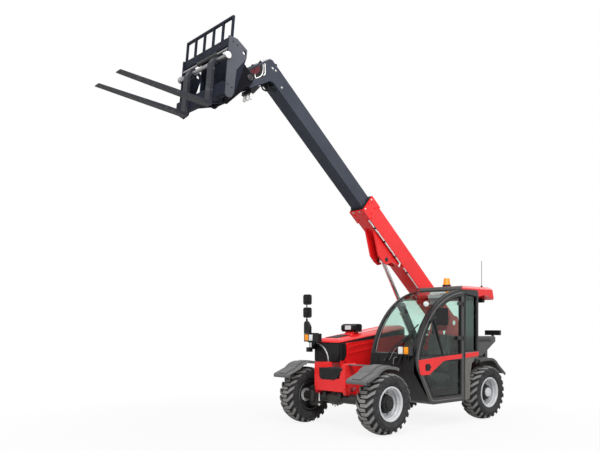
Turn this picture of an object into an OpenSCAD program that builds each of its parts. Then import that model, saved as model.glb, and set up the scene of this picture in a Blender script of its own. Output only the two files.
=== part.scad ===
// Compact telescopic handler with a fork carriage, its boom raised and run out
// Millimetres, +X forward, +Y towards the cab side, +Z up, ground at z = 0

/* [Wheels and axles] */
// Distance between the axles
wheelbase = 2300; // [2280:5:2330]
// Width over the tyres
overall_w = 1850; // [1840:5:1880]
// Tyre diameter over the tread
tyre_od = 831; // [815:1:840]
// Tyre width
tyre_w = 307; // [290:1:312]
// Rim flange diameter
rim_d = 464; // [450:2:472]
// Lugs on each side of a tyre
lug_count = 18; // [14:1:20]
// Lug height
lug_h = 30; // [20:1:34]
// Lug width along the tread
lug_w = 56; // [44:1:62]
// Steering pivot inside the middle plane of its wheel
kingpin_in = 171.5; // [168:0.5:181]
// Radius of the steering pivot pins
kingpin_r = 25; // [20:1:28]
// Radius of the axle tubes
axle_r = 65; // [55:1:70]
// Length of the steering arms
steer_arm = 150; // [140:1:160]

/* [Boom] */
// Boom plane, right of the centre plane
boom_y = -120; // [-125:1:-115]
// Boom angle as it stands
boom_angle = 40.2; // [36:0.1:44]
// Boom pivot, from mid wheelbase
pivot_x = -1420; // [-1440:1:-1400]
// Boom pivot height
pivot_z = 1484; // [1470:1:1500]
// Radius of the boom pivot pin
pivot_r = 40; // [32:1:45]
// Outer section, length ahead of the pivot
outer_len = 2700; // [2650:5:2750]
// Outer section height
outer_h = 275; // [268:1:282]
// Outer section width
outer_w = 260; // [254:1:264]
// Inner section height
inner_h = 206; // [200:1:212]
// Inner section width
inner_w = 210; // [204:1:216]
// Wall thickness of both sections
boom_wall = 10; // [8:1:12]
// End of the inner tube as it stands, from the pivot
inner_end = 4850; // [4820:5:4880]
// Inner tube left inside the outer one as it stands
inner_overlap = 520; // [500:5:530]
// Carriage pivot along the boom
head_s = 5160; // [5140:1:5180]
// Carriage pivot below the boom axis
head_drop = 400; // [390:1:410]

/* [Lift and tilt cylinders] */
// Lift cylinder foot, from mid wheelbase
lift_foot_x = -1015; // [-1020:1:-1010]
// Lift cylinder foot height
lift_foot_z = 643; // [638:1:648]
// Lift cylinder eye along the boom
lift_eye_s = 1830; // [1822:1:1838]
// Lift cylinder eye below the boom axis
lift_eye_drop = 300; // [296:1:304]
// Lift barrel radius
lift_barrel_r = 58; // [50:1:62]
// Lift rod radius
lift_rod_r = 32; // [26:1:36]
// Lift barrel length
lift_barrel_len = 1340; // [1330:1:1342]
// Lift rod length to its eye
lift_rod_len = 1305; // [1290:1:1306]
// Tilt cylinder foot along the boom
tilt_foot_s = 4905; // [4895:1:4915]
// Tilt cylinder foot above the boom axis
tilt_foot_t = 20; // [10:1:30]
// Tilt lever pin ahead of the carriage pivot
lever_u = 90; // [85:1:95]
// Tilt lever pin above the carriage pivot
lever_v = 90; // [85:1:95]
// Tilt barrel radius
tilt_barrel_r = 42; // [36:1:46]
// Tilt rod radius
tilt_rod_r = 22; // [18:1:26]

/* [Carriage and forks] */
// Fork angle above level as it stands
fork_tilt = 5.5; // [3:0.1:8]
// Fork heel ahead of the carriage pivot
heel_u = 627; // [620:1:635]
// Fork underside below the carriage pivot
heel_v = 598; // [590:1:605]
// Fork length from its heel
fork_len = 1130; // [1000:5:1200]
// Fork width
fork_w = 100; // [80:1:120]
// Fork thickness
fork_t = 40; // [35:1:45]
// Distance between the fork centres
fork_gap = 520; // [420:5:640]
// Carriage width
carriage_w = 1000; // [960:5:1040]
// Radius of the fork shaft
shaft_r = 25; // [22:1:28]

/* [Cab] */
// Left face of the cab
cab_left = 880; // [875:1:885]
// Right face of the cab
cab_right = 60; // [60:1:62]
// Centre of the cab's front curve along the machine
cab_cx = -550; // [-560:1:-540]
// Height of the centre of that curve
cab_cz = 785; // [775:1:795]
// Radius of the cab's front curve
cab_r = 1190; // [1180:1:1200]
// Underside of the cab
sill_z = 335; // [330:1:345]
// Front lower corner of the cab
sill_x = 285; // [280:1:295]
// Rear face of the cab
cab_rear = -880; // [-885:1:-875]
// Thickness of the door and cab posts
post = 45; // [42:1:48]
// Gap around the door
door_gap = 6; // [5:0.5:8]
// Glass thickness
glass_t = 6; // [5:0.5:8]
// Height of the belt line
belt_z = 1000; // [990:1:1010]

/* [Engine bay] */
// Left wall of the engine bay
bay_left = -300; // [-302:1:-298]
// Right wall of the engine bay
bay_right = -850; // [-860:1:-840]
// Front of the engine bay
bay_front = 890; // [880:1:900]
// Rear of the engine bay
bay_rear = -580; // [-590:1:-575]
// Height of the bay's front edge under the hood
bay_front_z = 1185; // [1175:1:1195]
// Height of the bay's rear edge under the hood
bay_rear_z = 1385; // [1375:1:1395]
// Sheet thickness of panels
sheet = 10; // [8:1:12]

/* [Hidden] */
$fn = 48;
// Radial play of pins and rods in their bores
fit = 0.05;
wheel_r = tyre_od / 2;
track_y = (overall_w - tyre_w) / 2;
axle_x = wheelbase / 2;
kingpin_y = track_y - kingpin_in;
fender_in = track_y - tyre_w / 2 - 58;
fender_out = overall_w / 2 - 10;
plate = 25;
slot_left = cab_right - plate;
slot_right = bay_left + plate;
belly_z = 380;
saddle_z = 500;
rear_end = -1760;
spindle_r = 30;
// Knuckle face back from the middle of the wheel
hub_gap = 26;
head_x = pivot_x + head_s * cos(boom_angle) + head_drop * sin(boom_angle);
head_z = pivot_z + head_s * sin(boom_angle) - head_drop * cos(boom_angle);
tip_x = head_x + (heel_u + fork_len) * cos(fork_tilt) + heel_v * sin(fork_tilt);
// Middle of the length, where the frame's origin stands
mid_x = (tip_x + rear_end) / 2;
lift_eye_x = pivot_x + lift_eye_s * cos(boom_angle) + lift_eye_drop * sin(boom_angle);
lift_eye_z = pivot_z + lift_eye_s * sin(boom_angle) - lift_eye_drop * cos(boom_angle);
lift_angle = atan2(lift_eye_z - lift_foot_z, lift_eye_x - lift_foot_x);
lift_len = norm([lift_eye_x - lift_foot_x, lift_eye_z - lift_foot_z]);
// Tilt lever pin in the boom's frame
rel = boom_angle - fork_tilt;
lever_s = head_s + lever_u * cos(rel) + lever_v * sin(rel);
lever_t = -head_drop - lever_u * sin(rel) + lever_v * cos(rel);
tilt_angle = atan2(lever_t - tilt_foot_t, lever_s - tilt_foot_s);
tilt_len = norm([lever_s - tilt_foot_s, lever_t - tilt_foot_t]);
tilt_barrel_len = 340;
// Inner faces of the lift ears, clear of the barrel between them
lift_ear = lift_barrel_r + 8;
// Slope of the cab's lower front edge, and its rounding above and below
nose_top = [cab_cx + cab_r * cos(6.3), cab_cz + cab_r * sin(6.3)];
front_slope = atan2(nose_top[1] - sill_z, nose_top[0] - sill_x);
corner_r = 150;
nose_r = 300;
b_post = cab_cx + 20;
hinge_x = b_post + 46;
hinge_y = cab_left + 12;
cab_top = cab_cz + cab_r;
roof_z = cab_top + 55;
// Heights of the two door hinges
hinge_low = belt_z + 250;
hinge_high = cab_top - 225;
// Front face of the lamp seat on the cab's front
lamp_x = cab_cx + cab_r - 10;
hood_slope = atan2(bay_rear_z - bay_front_z, bay_front - bay_rear);
// Hood hinge axis behind the bay
hood_pin_x = bay_rear - 14;
hood_pin_z = bay_rear_z + 35;
hood_pin_r = 12;
// Height of the hood over the bay, half its flat top and the radius of its front edge
hood_h = 56;
hood_flat = 150;
hood_roll = 110;

// Points of an arc about a centre
function arc(c, r, a0, a1, n) = [for (i = [0:n]) c + r * [cos(a0 + (a1 - a0) * i / n), sin(a0 + (a1 - a0) * i / n)]];

// Unit normal of the stretch from one point to another
function normal(p, q) = [p[1] - q[1], q[0] - p[0]] / norm(q - p);

// Path moved sideways by t
function shifted(p, t) = [
  for (i = [0:len(p) - 1])
    let (a = i == 0 ? normal(p[0], p[1]) : normal(p[i - 1], p[i]))
    let (b = i == len(p) - 1 ? a : normal(p[i], p[i + 1]))
    p[i] + (a + b) * t / (1 + a * b)
];

function backwards(p) = [for (i = [len(p) - 1:-1:0]) p[i]];

// Outline mirrored in its second coordinate
function flipped(p) = [for (q = p) [q[0], -q[1]]];

// Rectangle between two corners, with round corners of radius r
function rounded(a, b, r) = concat(
  arc([b[0] - r, b[1] - r], r, 0, 90, 5),
  arc([a[0] + r, b[1] - r], r, 90, 180, 5),
  arc([a[0] + r, a[1] + r], r, 180, 270, 5),
  arc([b[0] - r, a[1] + r], r, 270, 360, 5)
);

// Strip of thickness t along a path
function strip(p, t) = concat(p, backwards(shifted(p, t)));

// Angle on the cab's front curve, moved in by d, where it meets a height
function cab_angle(z, d) = asin((z - cab_cz) / (cab_r - d));

// Centre of a rounding of radius d in the cab's lower front corner
function cab_corner(d) = [sill_x - d * tan(front_slope / 2), sill_z + d];

// Centre of the rounding between the front curve and the lower front edge
function nose_centre() =
  let (along = [cos(front_slope), sin(front_slope)])
  let (w = cab_corner(nose_r) - [cab_cx, cab_cz])
  w + [cab_cx, cab_cz] + along * (-w * along + sqrt(pow(w * along, 2) - w * w + pow(cab_r - nose_r, 2)));

// Front line of the cab's side, moved in by d, from an angle on its curve down to its sill
function cab_front(d, from) =
  let (n = nose_centre())
  let (to = atan2(n[1] - cab_cz, n[0] - cab_cx))
  concat(
    arc([cab_cx, cab_cz], cab_r - d, from, to, 18),
    arc(n, nose_r - d, to, front_slope - 90, 5),
    arc(cab_corner(corner_r), corner_r - d, front_slope - 90, -90, 6)
  );

// Outline of the door opening, moved in by d
function door_outline(d, rear) = concat(
  cab_front(d, acos((rear - cab_cx) / (cab_r - d))),
  [[rear, sill_z + d]]
);

// Extrude an x-z outline between two y planes
module slab(y0, y1) {
  translate([0, max(y0, y1), 0])
    rotate([90, 0, 0])
      linear_extrude(abs(y1 - y0))
        children();
}

// Solid box from two corners
module block(a, b) {
  translate(a)
    cube(b - a);
}

// Round bar along y
module bar_y(x, z, r, y0, y1) {
  translate([x, y0, z])
    rotate([-90, 0, 0])
      cylinder(h = y1 - y0, r = r);
}

// Round bar between two points
module rod(a, b, r) {
  d = b - a;
  translate(a)
    rotate([0, acos(d[2] / norm(d)), atan2(d[1], d[0])])
      cylinder(h = norm(d), r = r);
}

module in_boom() {
  translate([pivot_x, boom_y, pivot_z])
    rotate([0, -boom_angle, 0])
      children();
}

module in_carriage() {
  translate([head_x, boom_y, head_z])
    rotate([0, -fork_tilt, 0])
      children();
}

module at_wheel(front, left) {
  translate([front * axle_x, left * track_y, wheel_r])
    rotate([left > 0 ? -90 : 90, 0, 0])
      children();
}

// Main frame: two long plates with boom towers, belly plate, nose and engine tray
module frame_side() {
  polygon([
    [-1620, 560], [-1620, 1150], [-1530, 1570], [-1480, 1600], [-1360, 1600], [-1310, 1570], [-1120, 1130],
    [-760, 900], [600, 760], [1040, 780], [1270, 820], [1270, 540], [1180, saddle_z], [900, saddle_z],
    [780, belly_z], [-780, belly_z], [-900, saddle_z], [-1400, saddle_z]
  ]);
}

module nose_front() {
  polygon([
    [-430, 580], [-370, 520], [130, 520], [190, 580], [190, 900], [175, 915], [-415, 915], [-430, 900]
  ]);
}

// Hollow across the nose that the lowered boom rests in
module nose_recess() {
  polygon([[75, 700], [-245, 700], [-305, 920], [135, 920]]);
}

module main_frame() {
  color("firebrick") {
    difference() {
      union() {
        slab(slot_left, cab_right)
          frame_side();
        slab(bay_left, slot_right)
          frame_side();
        translate([1060, 0, 0])
          rotate([90, 0, 90])
            linear_extrude(220)
              nose_front();
        // Post and stay at the front of the bay
        slab(bay_left, slot_right)
          polygon([[830, 740], [890, 740], [890, bay_front_z - 20], [825, bay_front_z - 10], [825, 1040],
            [560, 790], [500, 740], [620, 740], [825, 925]]);
        // Ears under the nose
        for (y = [-425, 130])
          slab(y, y + 55)
            polygon([[1160, 600], [1275, 600], [1275, 520], [1250, 475], [1200, 475], [1175, 520]]);
        block([-780, bay_left, belly_z], [780, cab_right, belly_z + 20]);
        block([-1620, bay_left, 560], [-1590, cab_right, 1150]);
        block([lift_foot_x - 70, slot_right, lift_foot_z - 60], [lift_foot_x + 70, boom_y - 64, lift_foot_z + 60]);
        block([lift_foot_x - 70, boom_y + 64, lift_foot_z - 60], [lift_foot_x + 70, slot_left, lift_foot_z + 60]);
        bar_y(lift_foot_x, lift_foot_z, 30, slot_right, slot_left);
        block([-560, bay_right + 10, 600], [560, bay_left, 620]);
        slab(bay_right + 10, bay_left)
          polygon([[540, 600], [620, 880], [880, 880], [880, 900], [600, 900], [530, 620]]);
      }
      bar_y(pivot_x, pivot_z, pivot_r, bay_left - 1, cab_right + 1);
      translate([1050, 0, 0])
        rotate([90, 0, 90])
          linear_extrude(240)
            nose_recess();
      bar_y(1235, 600, 20, -440, 220);
      bar_y(1225, 515, 16, -440, 220);
    }
  }
}

module boom_rest() {
  color("dimgray")
    translate([1075, 0, 0])
      rotate([90, 0, 90])
        linear_extrude(190)
          polygon([[-240, 700], [70, 700], [105, 845], [-275, 845]]);
}

module counterweight() {
  color("dimgray")
    difference() {
      union() {
        block([-1690, -520, 470], [-1620, 520, 1100]);
        block([rear_end, -70, 500], [-1690, 70, 525]);
        block([rear_end, -70, 600], [-1690, 70, 625]);
      }
      translate([-1730, 0, 490])
        cylinder(h = 150, r = 16);
    }
}

// Axle: tube, final drive, saddles, pivot yokes and steering cylinder
module axle(front) {
  x = front * axle_x;
  arm_x = x - front * steer_arm;
  difference() {
    union() {
      translate([x, 0, wheel_r])
        rotate([-90, 0, 0])
          rotate_extrude()
            polygon([[0, -kingpin_y + 110], [axle_r, -kingpin_y + 110], [axle_r, boom_y - 150], [90, boom_y - 95],
              [100, boom_y - 40], [100, boom_y + 40], [90, boom_y + 95], [axle_r, boom_y + 150],
              [axle_r, kingpin_y - 110], [0, kingpin_y - 110]]);
      block([x - 90, bay_left, wheel_r], [x + 90, bay_left + 60, saddle_z]);
      block([x - 90, slot_left - 35, wheel_r], [x + 90, cab_right, saddle_z]);
      for (s = [-1, 1]) {
        for (z = [-135, 95])
          translate([x - 55, s * (kingpin_y - 70) - 70, wheel_r + z])
            cube([110, 140, 40]);
        translate([x, s * kingpin_y, wheel_r - 135])
          cylinder(h = 40, r = 55);
        translate([x, s * kingpin_y, wheel_r + 95])
          cylinder(h = 40, r = 55);
        translate([x - 55, s * (kingpin_y - 118) - 20, wheel_r - 135])
          cube([110, 40, 270]);
      }
      bar_y(arm_x, wheel_r, 34, -200, 200);
      block([min(x, arm_x), -150, wheel_r - 20], [max(x, arm_x), -100, wheel_r + 20]);
      block([min(x, arm_x), 100, wheel_r - 20], [max(x, arm_x), 150, wheel_r + 20]);
    }
    for (s = [-1, 1])
      translate([x, s * kingpin_y, wheel_r - 140])
        cylinder(h = 280, r = kingpin_r + fit);
    bar_y(arm_x, wheel_r, 18 + fit, -201, 201);
  }
}

// Steering rod through its cylinder, with a flat eye at each end above the steering arms
module steer_rod(front) {
  arm_x = front * (axle_x - steer_arm);
  color("silver") {
    bar_y(arm_x, wheel_r, 18, -kingpin_y + 65, kingpin_y - 65);
    for (s = [-1, 1])
      translate([arm_x, s * (kingpin_y - 55), wheel_r])
        block([-22, -25, -14], [22, 25, 18]);
  }
}

// Knuckle: pivot pin, body, spindle and steering arm
module knuckle(front, left) {
  x = front * axle_x;
  y = left * kingpin_y;
  color("black") {
    translate([x, y, wheel_r - 150])
      cylinder(h = 300, r = kingpin_r);
    translate([x, y, wheel_r - 89])
      cylinder(h = 178, r = 62);
    bar_y(x, wheel_r, 60, left > 0 ? y : -track_y + hub_gap, left > 0 ? track_y - hub_gap : y);
    bar_y(x, wheel_r, spindle_r, left > 0 ? y : -track_y - 20, left > 0 ? track_y + 20 : y);
    translate([x, y - left * 25, wheel_r - 50])
      block([front > 0 ? -steer_arm - 25 : 0, -22, 0], [front > 0 ? 0 : steer_arm + 25, 22, 28]);
  }
}

// Wheel profiles: radius outwards, height along the wheel's axis towards the outside
function tread(d) = arc([wheel_r - 320, 0], 320 - d, 0, 25, 3);

function tyre_half() = concat(
  tread(lug_h),
  [[wheel_r - 78, tyre_w / 2 - 8], [wheel_r - 110, tyre_w / 2], [wheel_r - 150, tyre_w / 2 - 12]],
  [[rim_d / 2 + 3, tyre_w / 2 - 26], [rim_d / 2 + 3, tyre_w / 2 - 32], [rim_d / 2 - 17, tyre_w / 2 - 32]]
);

module carcass() {
  outer = tyre_half();
  inner = [[rim_d / 2 - 17, tyre_w / 2 - 60], [wheel_r - 120, tyre_w / 2 - 32],
    [wheel_r - lug_h - 25, tyre_w / 2 - 50], [wheel_r - lug_h - 16, 0]];
  rotate_extrude($fn = 96)
    polygon(concat(outer, inner, backwards(flipped(inner)), backwards(flipped(outer))));
}

// Band that the lugs stand in, sunk a little into the carcass
module lug_band() {
  outer = concat(tread(0), [[wheel_r - 50, tyre_w / 2], [wheel_r - 86, tyre_w / 2 - 3]]);
  inner = concat(tread(lug_h + 8), [[wheel_r - 90, tyre_w / 2 - 24]]);
  rotate_extrude($fn = 96)
    polygon(concat(outer, backwards(inner), flipped(inner), backwards(flipped(outer))));
}

// Slanted bar from just past the middle of the tread to the shoulder
module lug() {
  translate([0, 0, -10])
    rotate([38, 0, 0])
      translate([wheel_r - 130, -lug_w / 2, 0])
        cube([140, lug_w, 0.75 * tyre_w]);
}

module tyre(front, left) {
  color("dimgray")
    at_wheel(front, left) {
      carcass();
      intersection() {
        lug_band();
        for (i = [0:lug_count - 1], side = [0, 1])
          rotate([0, 0, (i + side / 2) * 360 / lug_count])
            mirror([0, 0, side])
              lug();
      }
    }
}

module rim(front, left) {
  r = rim_d / 2 - 17;
  h = tyre_w / 2 - 32;
  color("silver")
    at_wheel(front, left)
      difference() {
        union() {
          rotate_extrude($fn = 96)
            polygon([[r - 14, -h], [r, -h], [r, h], [r + 17, h], [r + 17, h + 12], [r - 4, h + 12], [r - 14, h - 6],
              [r - 14, 30], [r - 34, 14], [96, 14], [96, 0], [r - 30, 0], [r - 14, -14]]);
          translate([0, 0, -20])
            cylinder(h = 34, r = 98);
          translate([0, 0, 13])
            cylinder(h = 65, r = 92);
          translate([0, 0, 77])
            cylinder(h = 22, r = 62);
        }
        translate([0, 0, -21])
          cylinder(h = 50, r = spindle_r + fit);
      }
}

// Engine: one plain block
module engine_block() {
  color("gray")
    block([-430, -770, 640], [430, -370, 1120]);
}

function bay_top(x) = bay_front_z + (bay_front - x) * tan(hood_slope);

module bay_side() {
  polygon([[bay_rear, 640], [bay_rear, bay_top(bay_rear)], [bay_front - 30, bay_top(bay_front - 30)],
    [bay_front - 30, 900], [600, 900], [530, 640]]);
}

module bay_panels() {
  color("firebrick") {
    slab(bay_left - sheet, bay_left)
      bay_side();
    difference() {
      slab(bay_right, bay_right + sheet)
        bay_side();
      for (i = [0:6])
        block([-420 + i * 110, bay_right - 1, 900], [-350 + i * 110, bay_right + sheet + 1, 1130]);
    }
    block([bay_rear, bay_right, 640], [bay_rear + sheet, bay_left, bay_top(bay_rear + sheet)]);
    block([bay_rear, bay_right, 620], [520, bay_left, 640]);
    // Raised creases of the left wall, along the hood's line
    for (drop = [80, 175])
      slab(bay_left, bay_left + 8)
        polygon([for (q = [[bay_rear + 40, 0], [790, 0], [780, 26], [bay_rear + 50, 26]])
          [q[0], bay_top(q[0]) - drop - q[1]]]);
    // Hinge halves and pin of the hood
    bar_y(hood_pin_x, hood_pin_z, hood_pin_r / 2, -700, -450);
    for (y = [-700, -508]) {
      bar_y(hood_pin_x, hood_pin_z, hood_pin_r, y, y + 58);
      slab(y, y + 58)
        polygon([[hood_pin_x - hood_pin_r, bay_rear_z - 85], [bay_rear + 5, bay_rear_z - 85],
          [bay_rear + 5, bay_rear_z - 10], [bay_rear - 4, bay_rear_z - 10], [bay_rear - 4, hood_pin_z],
          [hood_pin_x - hood_pin_r, hood_pin_z]]);
    }
  }
}

// Grille: slotted outer panel inside a bright arc, and a plain raised panel beside it
module across_x(x0, x1) {
  translate([x0, 0, 0])
    rotate([90, 0, 90])
      linear_extrude(x1 - x0)
        children();
}

module front_grille() {
  c = [bay_right + 30, 890];
  r = 290;
  color("dimgray") {
    difference() {
      block([bay_front - 30, bay_right, 900], [bay_front, bay_left, bay_front_z]);
      across_x(bay_front - 31, bay_front + 1)
        intersection() {
          translate(c)
            circle(r = r - 26, $fn = 72);
          for (i = [0:8])
            translate([bay_right + 20, 912 + i * 28])
              square([400, 15]);
        }
    }
    across_x(bay_front - 5, bay_front + 8)
      intersection() {
        difference() {
          translate(c)
            circle(r = r, $fn = 72);
          translate(c)
            circle(r = r - 16, $fn = 72);
        }
        translate([c[0], 902])
          square([400, 281]);
      }
    across_x(bay_front - 5, bay_front + 14)
      polygon([[-545, 1172], [-340, 1172], [-308, 1120], [-306, 1010], [-340, 925], [-480, 910], [-515, 1010]]);
  }
}

// Hood: flat on top with long rounded shoulders, rolled over at its front edge
function hood_top(x) = bay_top(x) + hood_h / cos(hood_slope);

module hood_section() {
  mid = (bay_left + bay_right) / 2;
  half = (bay_left - bay_right) / 2 + 8;
  drop = hood_h - 12;
  r = (pow(half - hood_flat, 2) + drop * drop) / (2 * drop);
  turn = asin((half - hood_flat) / r);
  polygon(concat(
    [[mid + half, -40]],
    arc([mid + hood_flat, hood_h - r], r, 90 - turn, 90, 8),
    arc([mid - hood_flat, hood_h - r], r, 90, 90 + turn, 8),
    [[mid - half, -40]]
  ));
}

module hood_profile() {
  c = [bay_front + 20 - hood_roll, hood_top(bay_front + 20 - hood_roll) - hood_roll];
  lip = asin((bay_front_z + 4 - c[1]) / hood_roll);
  polygon(concat(
    [[bay_rear, bay_rear_z + 6], [bay_rear, hood_top(bay_rear) + 30], [c[0], hood_top(c[0]) + 30]],
    arc(c, hood_roll, 90, lip, 8)
  ));
}

module hood() {
  z = hood_top(360);
  color("firebrick") {
    difference() {
      union() {
        bar_y(hood_pin_x, hood_pin_z, hood_pin_r, -640, -510);
        block([hood_pin_x, -640, hood_pin_z - hood_pin_r], [bay_rear + 5, -510, hood_pin_z + hood_pin_r]);
      }
      bar_y(hood_pin_x, hood_pin_z, hood_pin_r / 2 + fit, -641, -509);
    }
    difference() {
      intersection() {
        slab(bay_right - 8, bay_left + 8)
          hood_profile();
        translate([bay_rear, 0, bay_rear_z])
          rotate([0, hood_slope, 0])
            across_x(-100, 1700)
              hood_section();
      }
      slab(bay_right + 40, bay_left - 40)
        polygon([[bay_rear + 24, bay_top(bay_rear)], [bay_rear + 24, bay_top(bay_rear + 24) + 24],
          [840, bay_top(840) + 24], [840, bay_top(840)]]);
    }
    // Pedestal of the hood lamp
    slab(-660, -490)
      polygon([[280, hood_top(280) - 8], [450, hood_top(450) - 8], [410, z + 30], [310, z + 30]]);
  }
}

module hood_lamp() {
  z = hood_top(360) + 30;
  color("dimgray") {
    slab(-730, -420)
      polygon([[300, z], [410, z], [440, z + 30], [440, z + 95], [400, z + 120], [310, z + 120], [290, z + 90]]);
    translate([438, -575, z + 62])
      rotate([0, 90, 0])
        cylinder(h = 12, r = 30);
  }
}

// Bodies over the rear wheels, left and right of the boom slot
module rear_body_side() {
  polygon([[-900, 970], [-900, 1255], [-930, 1275], [-1480, 1275], [-1510, 1250], [-1510, 1190], [-1130, 970]]);
}

module rear_bodies() {
  color("dimgray") {
    slab(cab_right, 780)
      rear_body_side();
    slab(-780, bay_left)
      rear_body_side();
  }
}

// Fenders: bent sheets over the wheels, each with an arm to the frame
function front_fender_path() = concat(
  [[1000, 876], [1060, 898]],
  arc([1215, 605], 310, 95, 45, 6),
  [[1632, 748]]
);

function rear_fender_path() = concat(
  [[cab_rear, 925], [-960, 940]],
  arc([-1150, 640], 305, 95, 140, 6),
  [[-1590, 690]]
);

// Sheet under a path, with a raised band along it and a lip at its outer edge
module fender(s, path, under) {
  mid = (fender_in + fender_out) / 2;
  slab(s * fender_in, s * fender_out)
    polygon(strip(path, 10 * under));
  slab(s * (mid - 75), s * (mid + 65))
    polygon(strip(path, -14 * under));
  slab(s * (fender_out - 12), s * fender_out)
    polygon(strip(path, 38 * under));
}

module front_fenders() {
  color("gray")
    for (s = [-1, 1]) {
      fender(s, front_fender_path(), -1);
      block([1160, s > 0 ? 190 : -fender_in - 10, 894], [1220, s > 0 ? fender_in + 10 : -430, 908]);
    }
}

module rear_fenders() {
  color("gray")
    for (s = [-1, 1]) {
      fender(s, rear_fender_path(), 1);
      block([-1180, s > 0 ? cab_right : -fender_in - 10, 930], [-1120, s > 0 ? fender_in + 10 : bay_left, 942]);
    }
}

// Cab: posts, floor, bulkheads and right wall; the panes and the door fill its openings
module cab_side(d) {
  polygon(concat(
    cab_front(d, 90),
    [[b_post + d, sill_z + d], [b_post - 10 + d, belt_z - 140 + d * 0.7], [cab_rear + d, belt_z - 45 + d],
      [cab_rear + d, cab_top - 40 - d], [cab_rear + 40 + d, cab_top - d]]
  ));
}

module quarter_window() {
  polygon([[cab_rear + 50, belt_z + 60], [cab_rear + 50, cab_top - 95], [b_post - 4, cab_top - 65],
    [b_post - 4, belt_z + 60]]);
}

module right_window() {
  polygon(concat(
    arc([cab_cx, cab_cz], cab_r - 60, 92, cab_angle(belt_z + 40, 60), 16),
    [[cab_rear + 60, belt_z + 40], [cab_rear + 60, cab_top - 125]]
  ));
}

module cab_frame() {
  color("dimgray") {
    difference() {
      slab(cab_right, cab_left)
        cab_side(0);
      slab(cab_right + post, cab_left - post)
        cab_side(40);
      slab(cab_left - post - 1, cab_left + 1) {
        polygon(door_outline(post, b_post + 48));
        quarter_window();
      }
      slab(cab_right - 1, cab_right + post + 1)
        right_window();
      // Windscreen opening
      slab(cab_right + 50, cab_left - post)
        polygon(concat(
          arc([cab_cx, cab_cz], cab_r + 5, 86, cab_angle(belt_z + 40, 0), 16),
          backwards(arc([cab_cx, cab_cz], cab_r - 60, 86, cab_angle(belt_z + 40, 0), 16))
        ));
      // Rear window opening
      block([cab_rear - 1, cab_right + 60, belt_z + 60], [cab_rear + 60, cab_left - 60, cab_top - 125]);
    }
    // Lamp seat on the front bulkhead
    block([lamp_x - 40, cab_left - 190, belt_z - 40], [lamp_x, cab_left - 110, belt_z + 10]);
    // Hinge halves on the rear post
    for (z = [hinge_low, hinge_high]) {
      translate([hinge_x, hinge_y, z - 26])
        cylinder(h = 25, r = 11);
      block([b_post + 4, cab_left - 2, z - 26], [hinge_x, hinge_y, z - 1]);
    }
  }
}

module windscreen() {
  color("lightblue")
    slab(cab_right + 50, cab_left - post)
      polygon(concat(
        arc([cab_cx, cab_cz], cab_r - 4, 86, cab_angle(belt_z + 40, 0), 16),
        backwards(arc([cab_cx, cab_cz], cab_r - 4 - glass_t, 86, cab_angle(belt_z + 40, 0), 16))
      ));
}

module cab_windows() {
  color("lightblue") {
    slab(cab_left - 20 - glass_t, cab_left - 20)
      quarter_window();
    slab(cab_right + 20, cab_right + 20 + glass_t)
      right_window();
    block([cab_rear + 15, cab_right + 60, belt_z + 60], [cab_rear + 15 + glass_t, cab_left - 60, cab_top - 125]);
  }
}

// Roof cap with round shoulders and its rear visor
module cab_roof() {
  x = cab_rear;
  z = cab_top;
  color("firebrick")
    intersection() {
      slab(cab_right, cab_left)
        polygon(concat(
          [[cab_cx + 80, z], [cab_cx - 10, z], [x + 40, z], [x, z - 40], [x, z - 95]],
          arc([x - 180, z - 360], 290, 70, 118, 6),
          [[x - 400, z - 137], [x - 420, z - 110]],
          arc([x - 320, roof_z - 70], 70, 165, 90, 6),
          arc([cab_cx + 30, roof_z - 45], 45, 90, 5, 6)
        ));
      across_x(x - 500, cab_cx + 200)
        polygon(concat(
          [[cab_right, z - 200]],
          [[cab_left, z - 200]],
          arc([cab_left - 50, roof_z - 50], 50, 0, 90, 6),
          arc([cab_right + 50, roof_z - 50], 50, 90, 180, 6)
        ));
    }
}

module quarter_panel() {
  color("gray")
    slab(cab_left, cab_left + 8)
      polygon([[b_post, sill_z + 10], [b_post, belt_z + 50], [cab_rear + 10, belt_z + 50],
        [cab_rear + 10, belt_z - 40], [b_post - 170, belt_z - 120], [b_post - 120, belt_z - 300],
        [b_post - 125, sill_z + 60], [b_post - 90, sill_z + 10]]);
}

module seat() {
  color("black") {
    block([-440, 260, sill_z + 40], [-60, 690, 620]);
    block([-450, 240, 620], [-20, 710, 730]);
    translate([-450, 240, 705])
      rotate([0, -8, 0])
        block([0, 20, 0], [110, 450, 640]);
  }
}

module steering_console() {
  color("black") {
    block([98, 330, sill_z + 40], [198, 610, 860]);
    translate([200, 470, 850])
      rotate([0, -30, 0]) {
        cylinder(h = 160, r = 35);
        translate([0, 0, 150])
          cylinder(h = 25, r = 60);
        translate([0, 0, 162])
          rotate_extrude()
            translate([170, 0])
              circle(r = 14, $fn = 24);
        for (a = [0:120:240])
          rotate([0, 0, a])
            translate([40, -12, 156])
              cube([125, 24, 12]);
      }
  }
}

module beacon() {
  color("orange")
    translate([cab_cx - 100, (cab_left + cab_right) / 2, roof_z]) {
      cylinder(h = 30, r = 62);
      translate([0, 0, 30])
        cylinder(h = 105, r1 = 56, r2 = 44);
    }
}

module aerial() {
  color("black")
    translate([cab_rear - 240, cab_left - 100, roof_z]) {
      cylinder(h = 25, r = 16);
      cylinder(h = 410, r = 4);
    }
}

// Lamp housing in front of x, with two sunk square lenses
module lamp_box(x, y0, y1, z0, z1, lens) {
  difference() {
    block([x - 70, y0, z0], [x, y1, z1]);
    for (y = lens)
      across_x(x - 8, x + 1)
        polygon(rounded([y, z0 + 14], [y + 84, z1 - 14], 8));
  }
}

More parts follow.
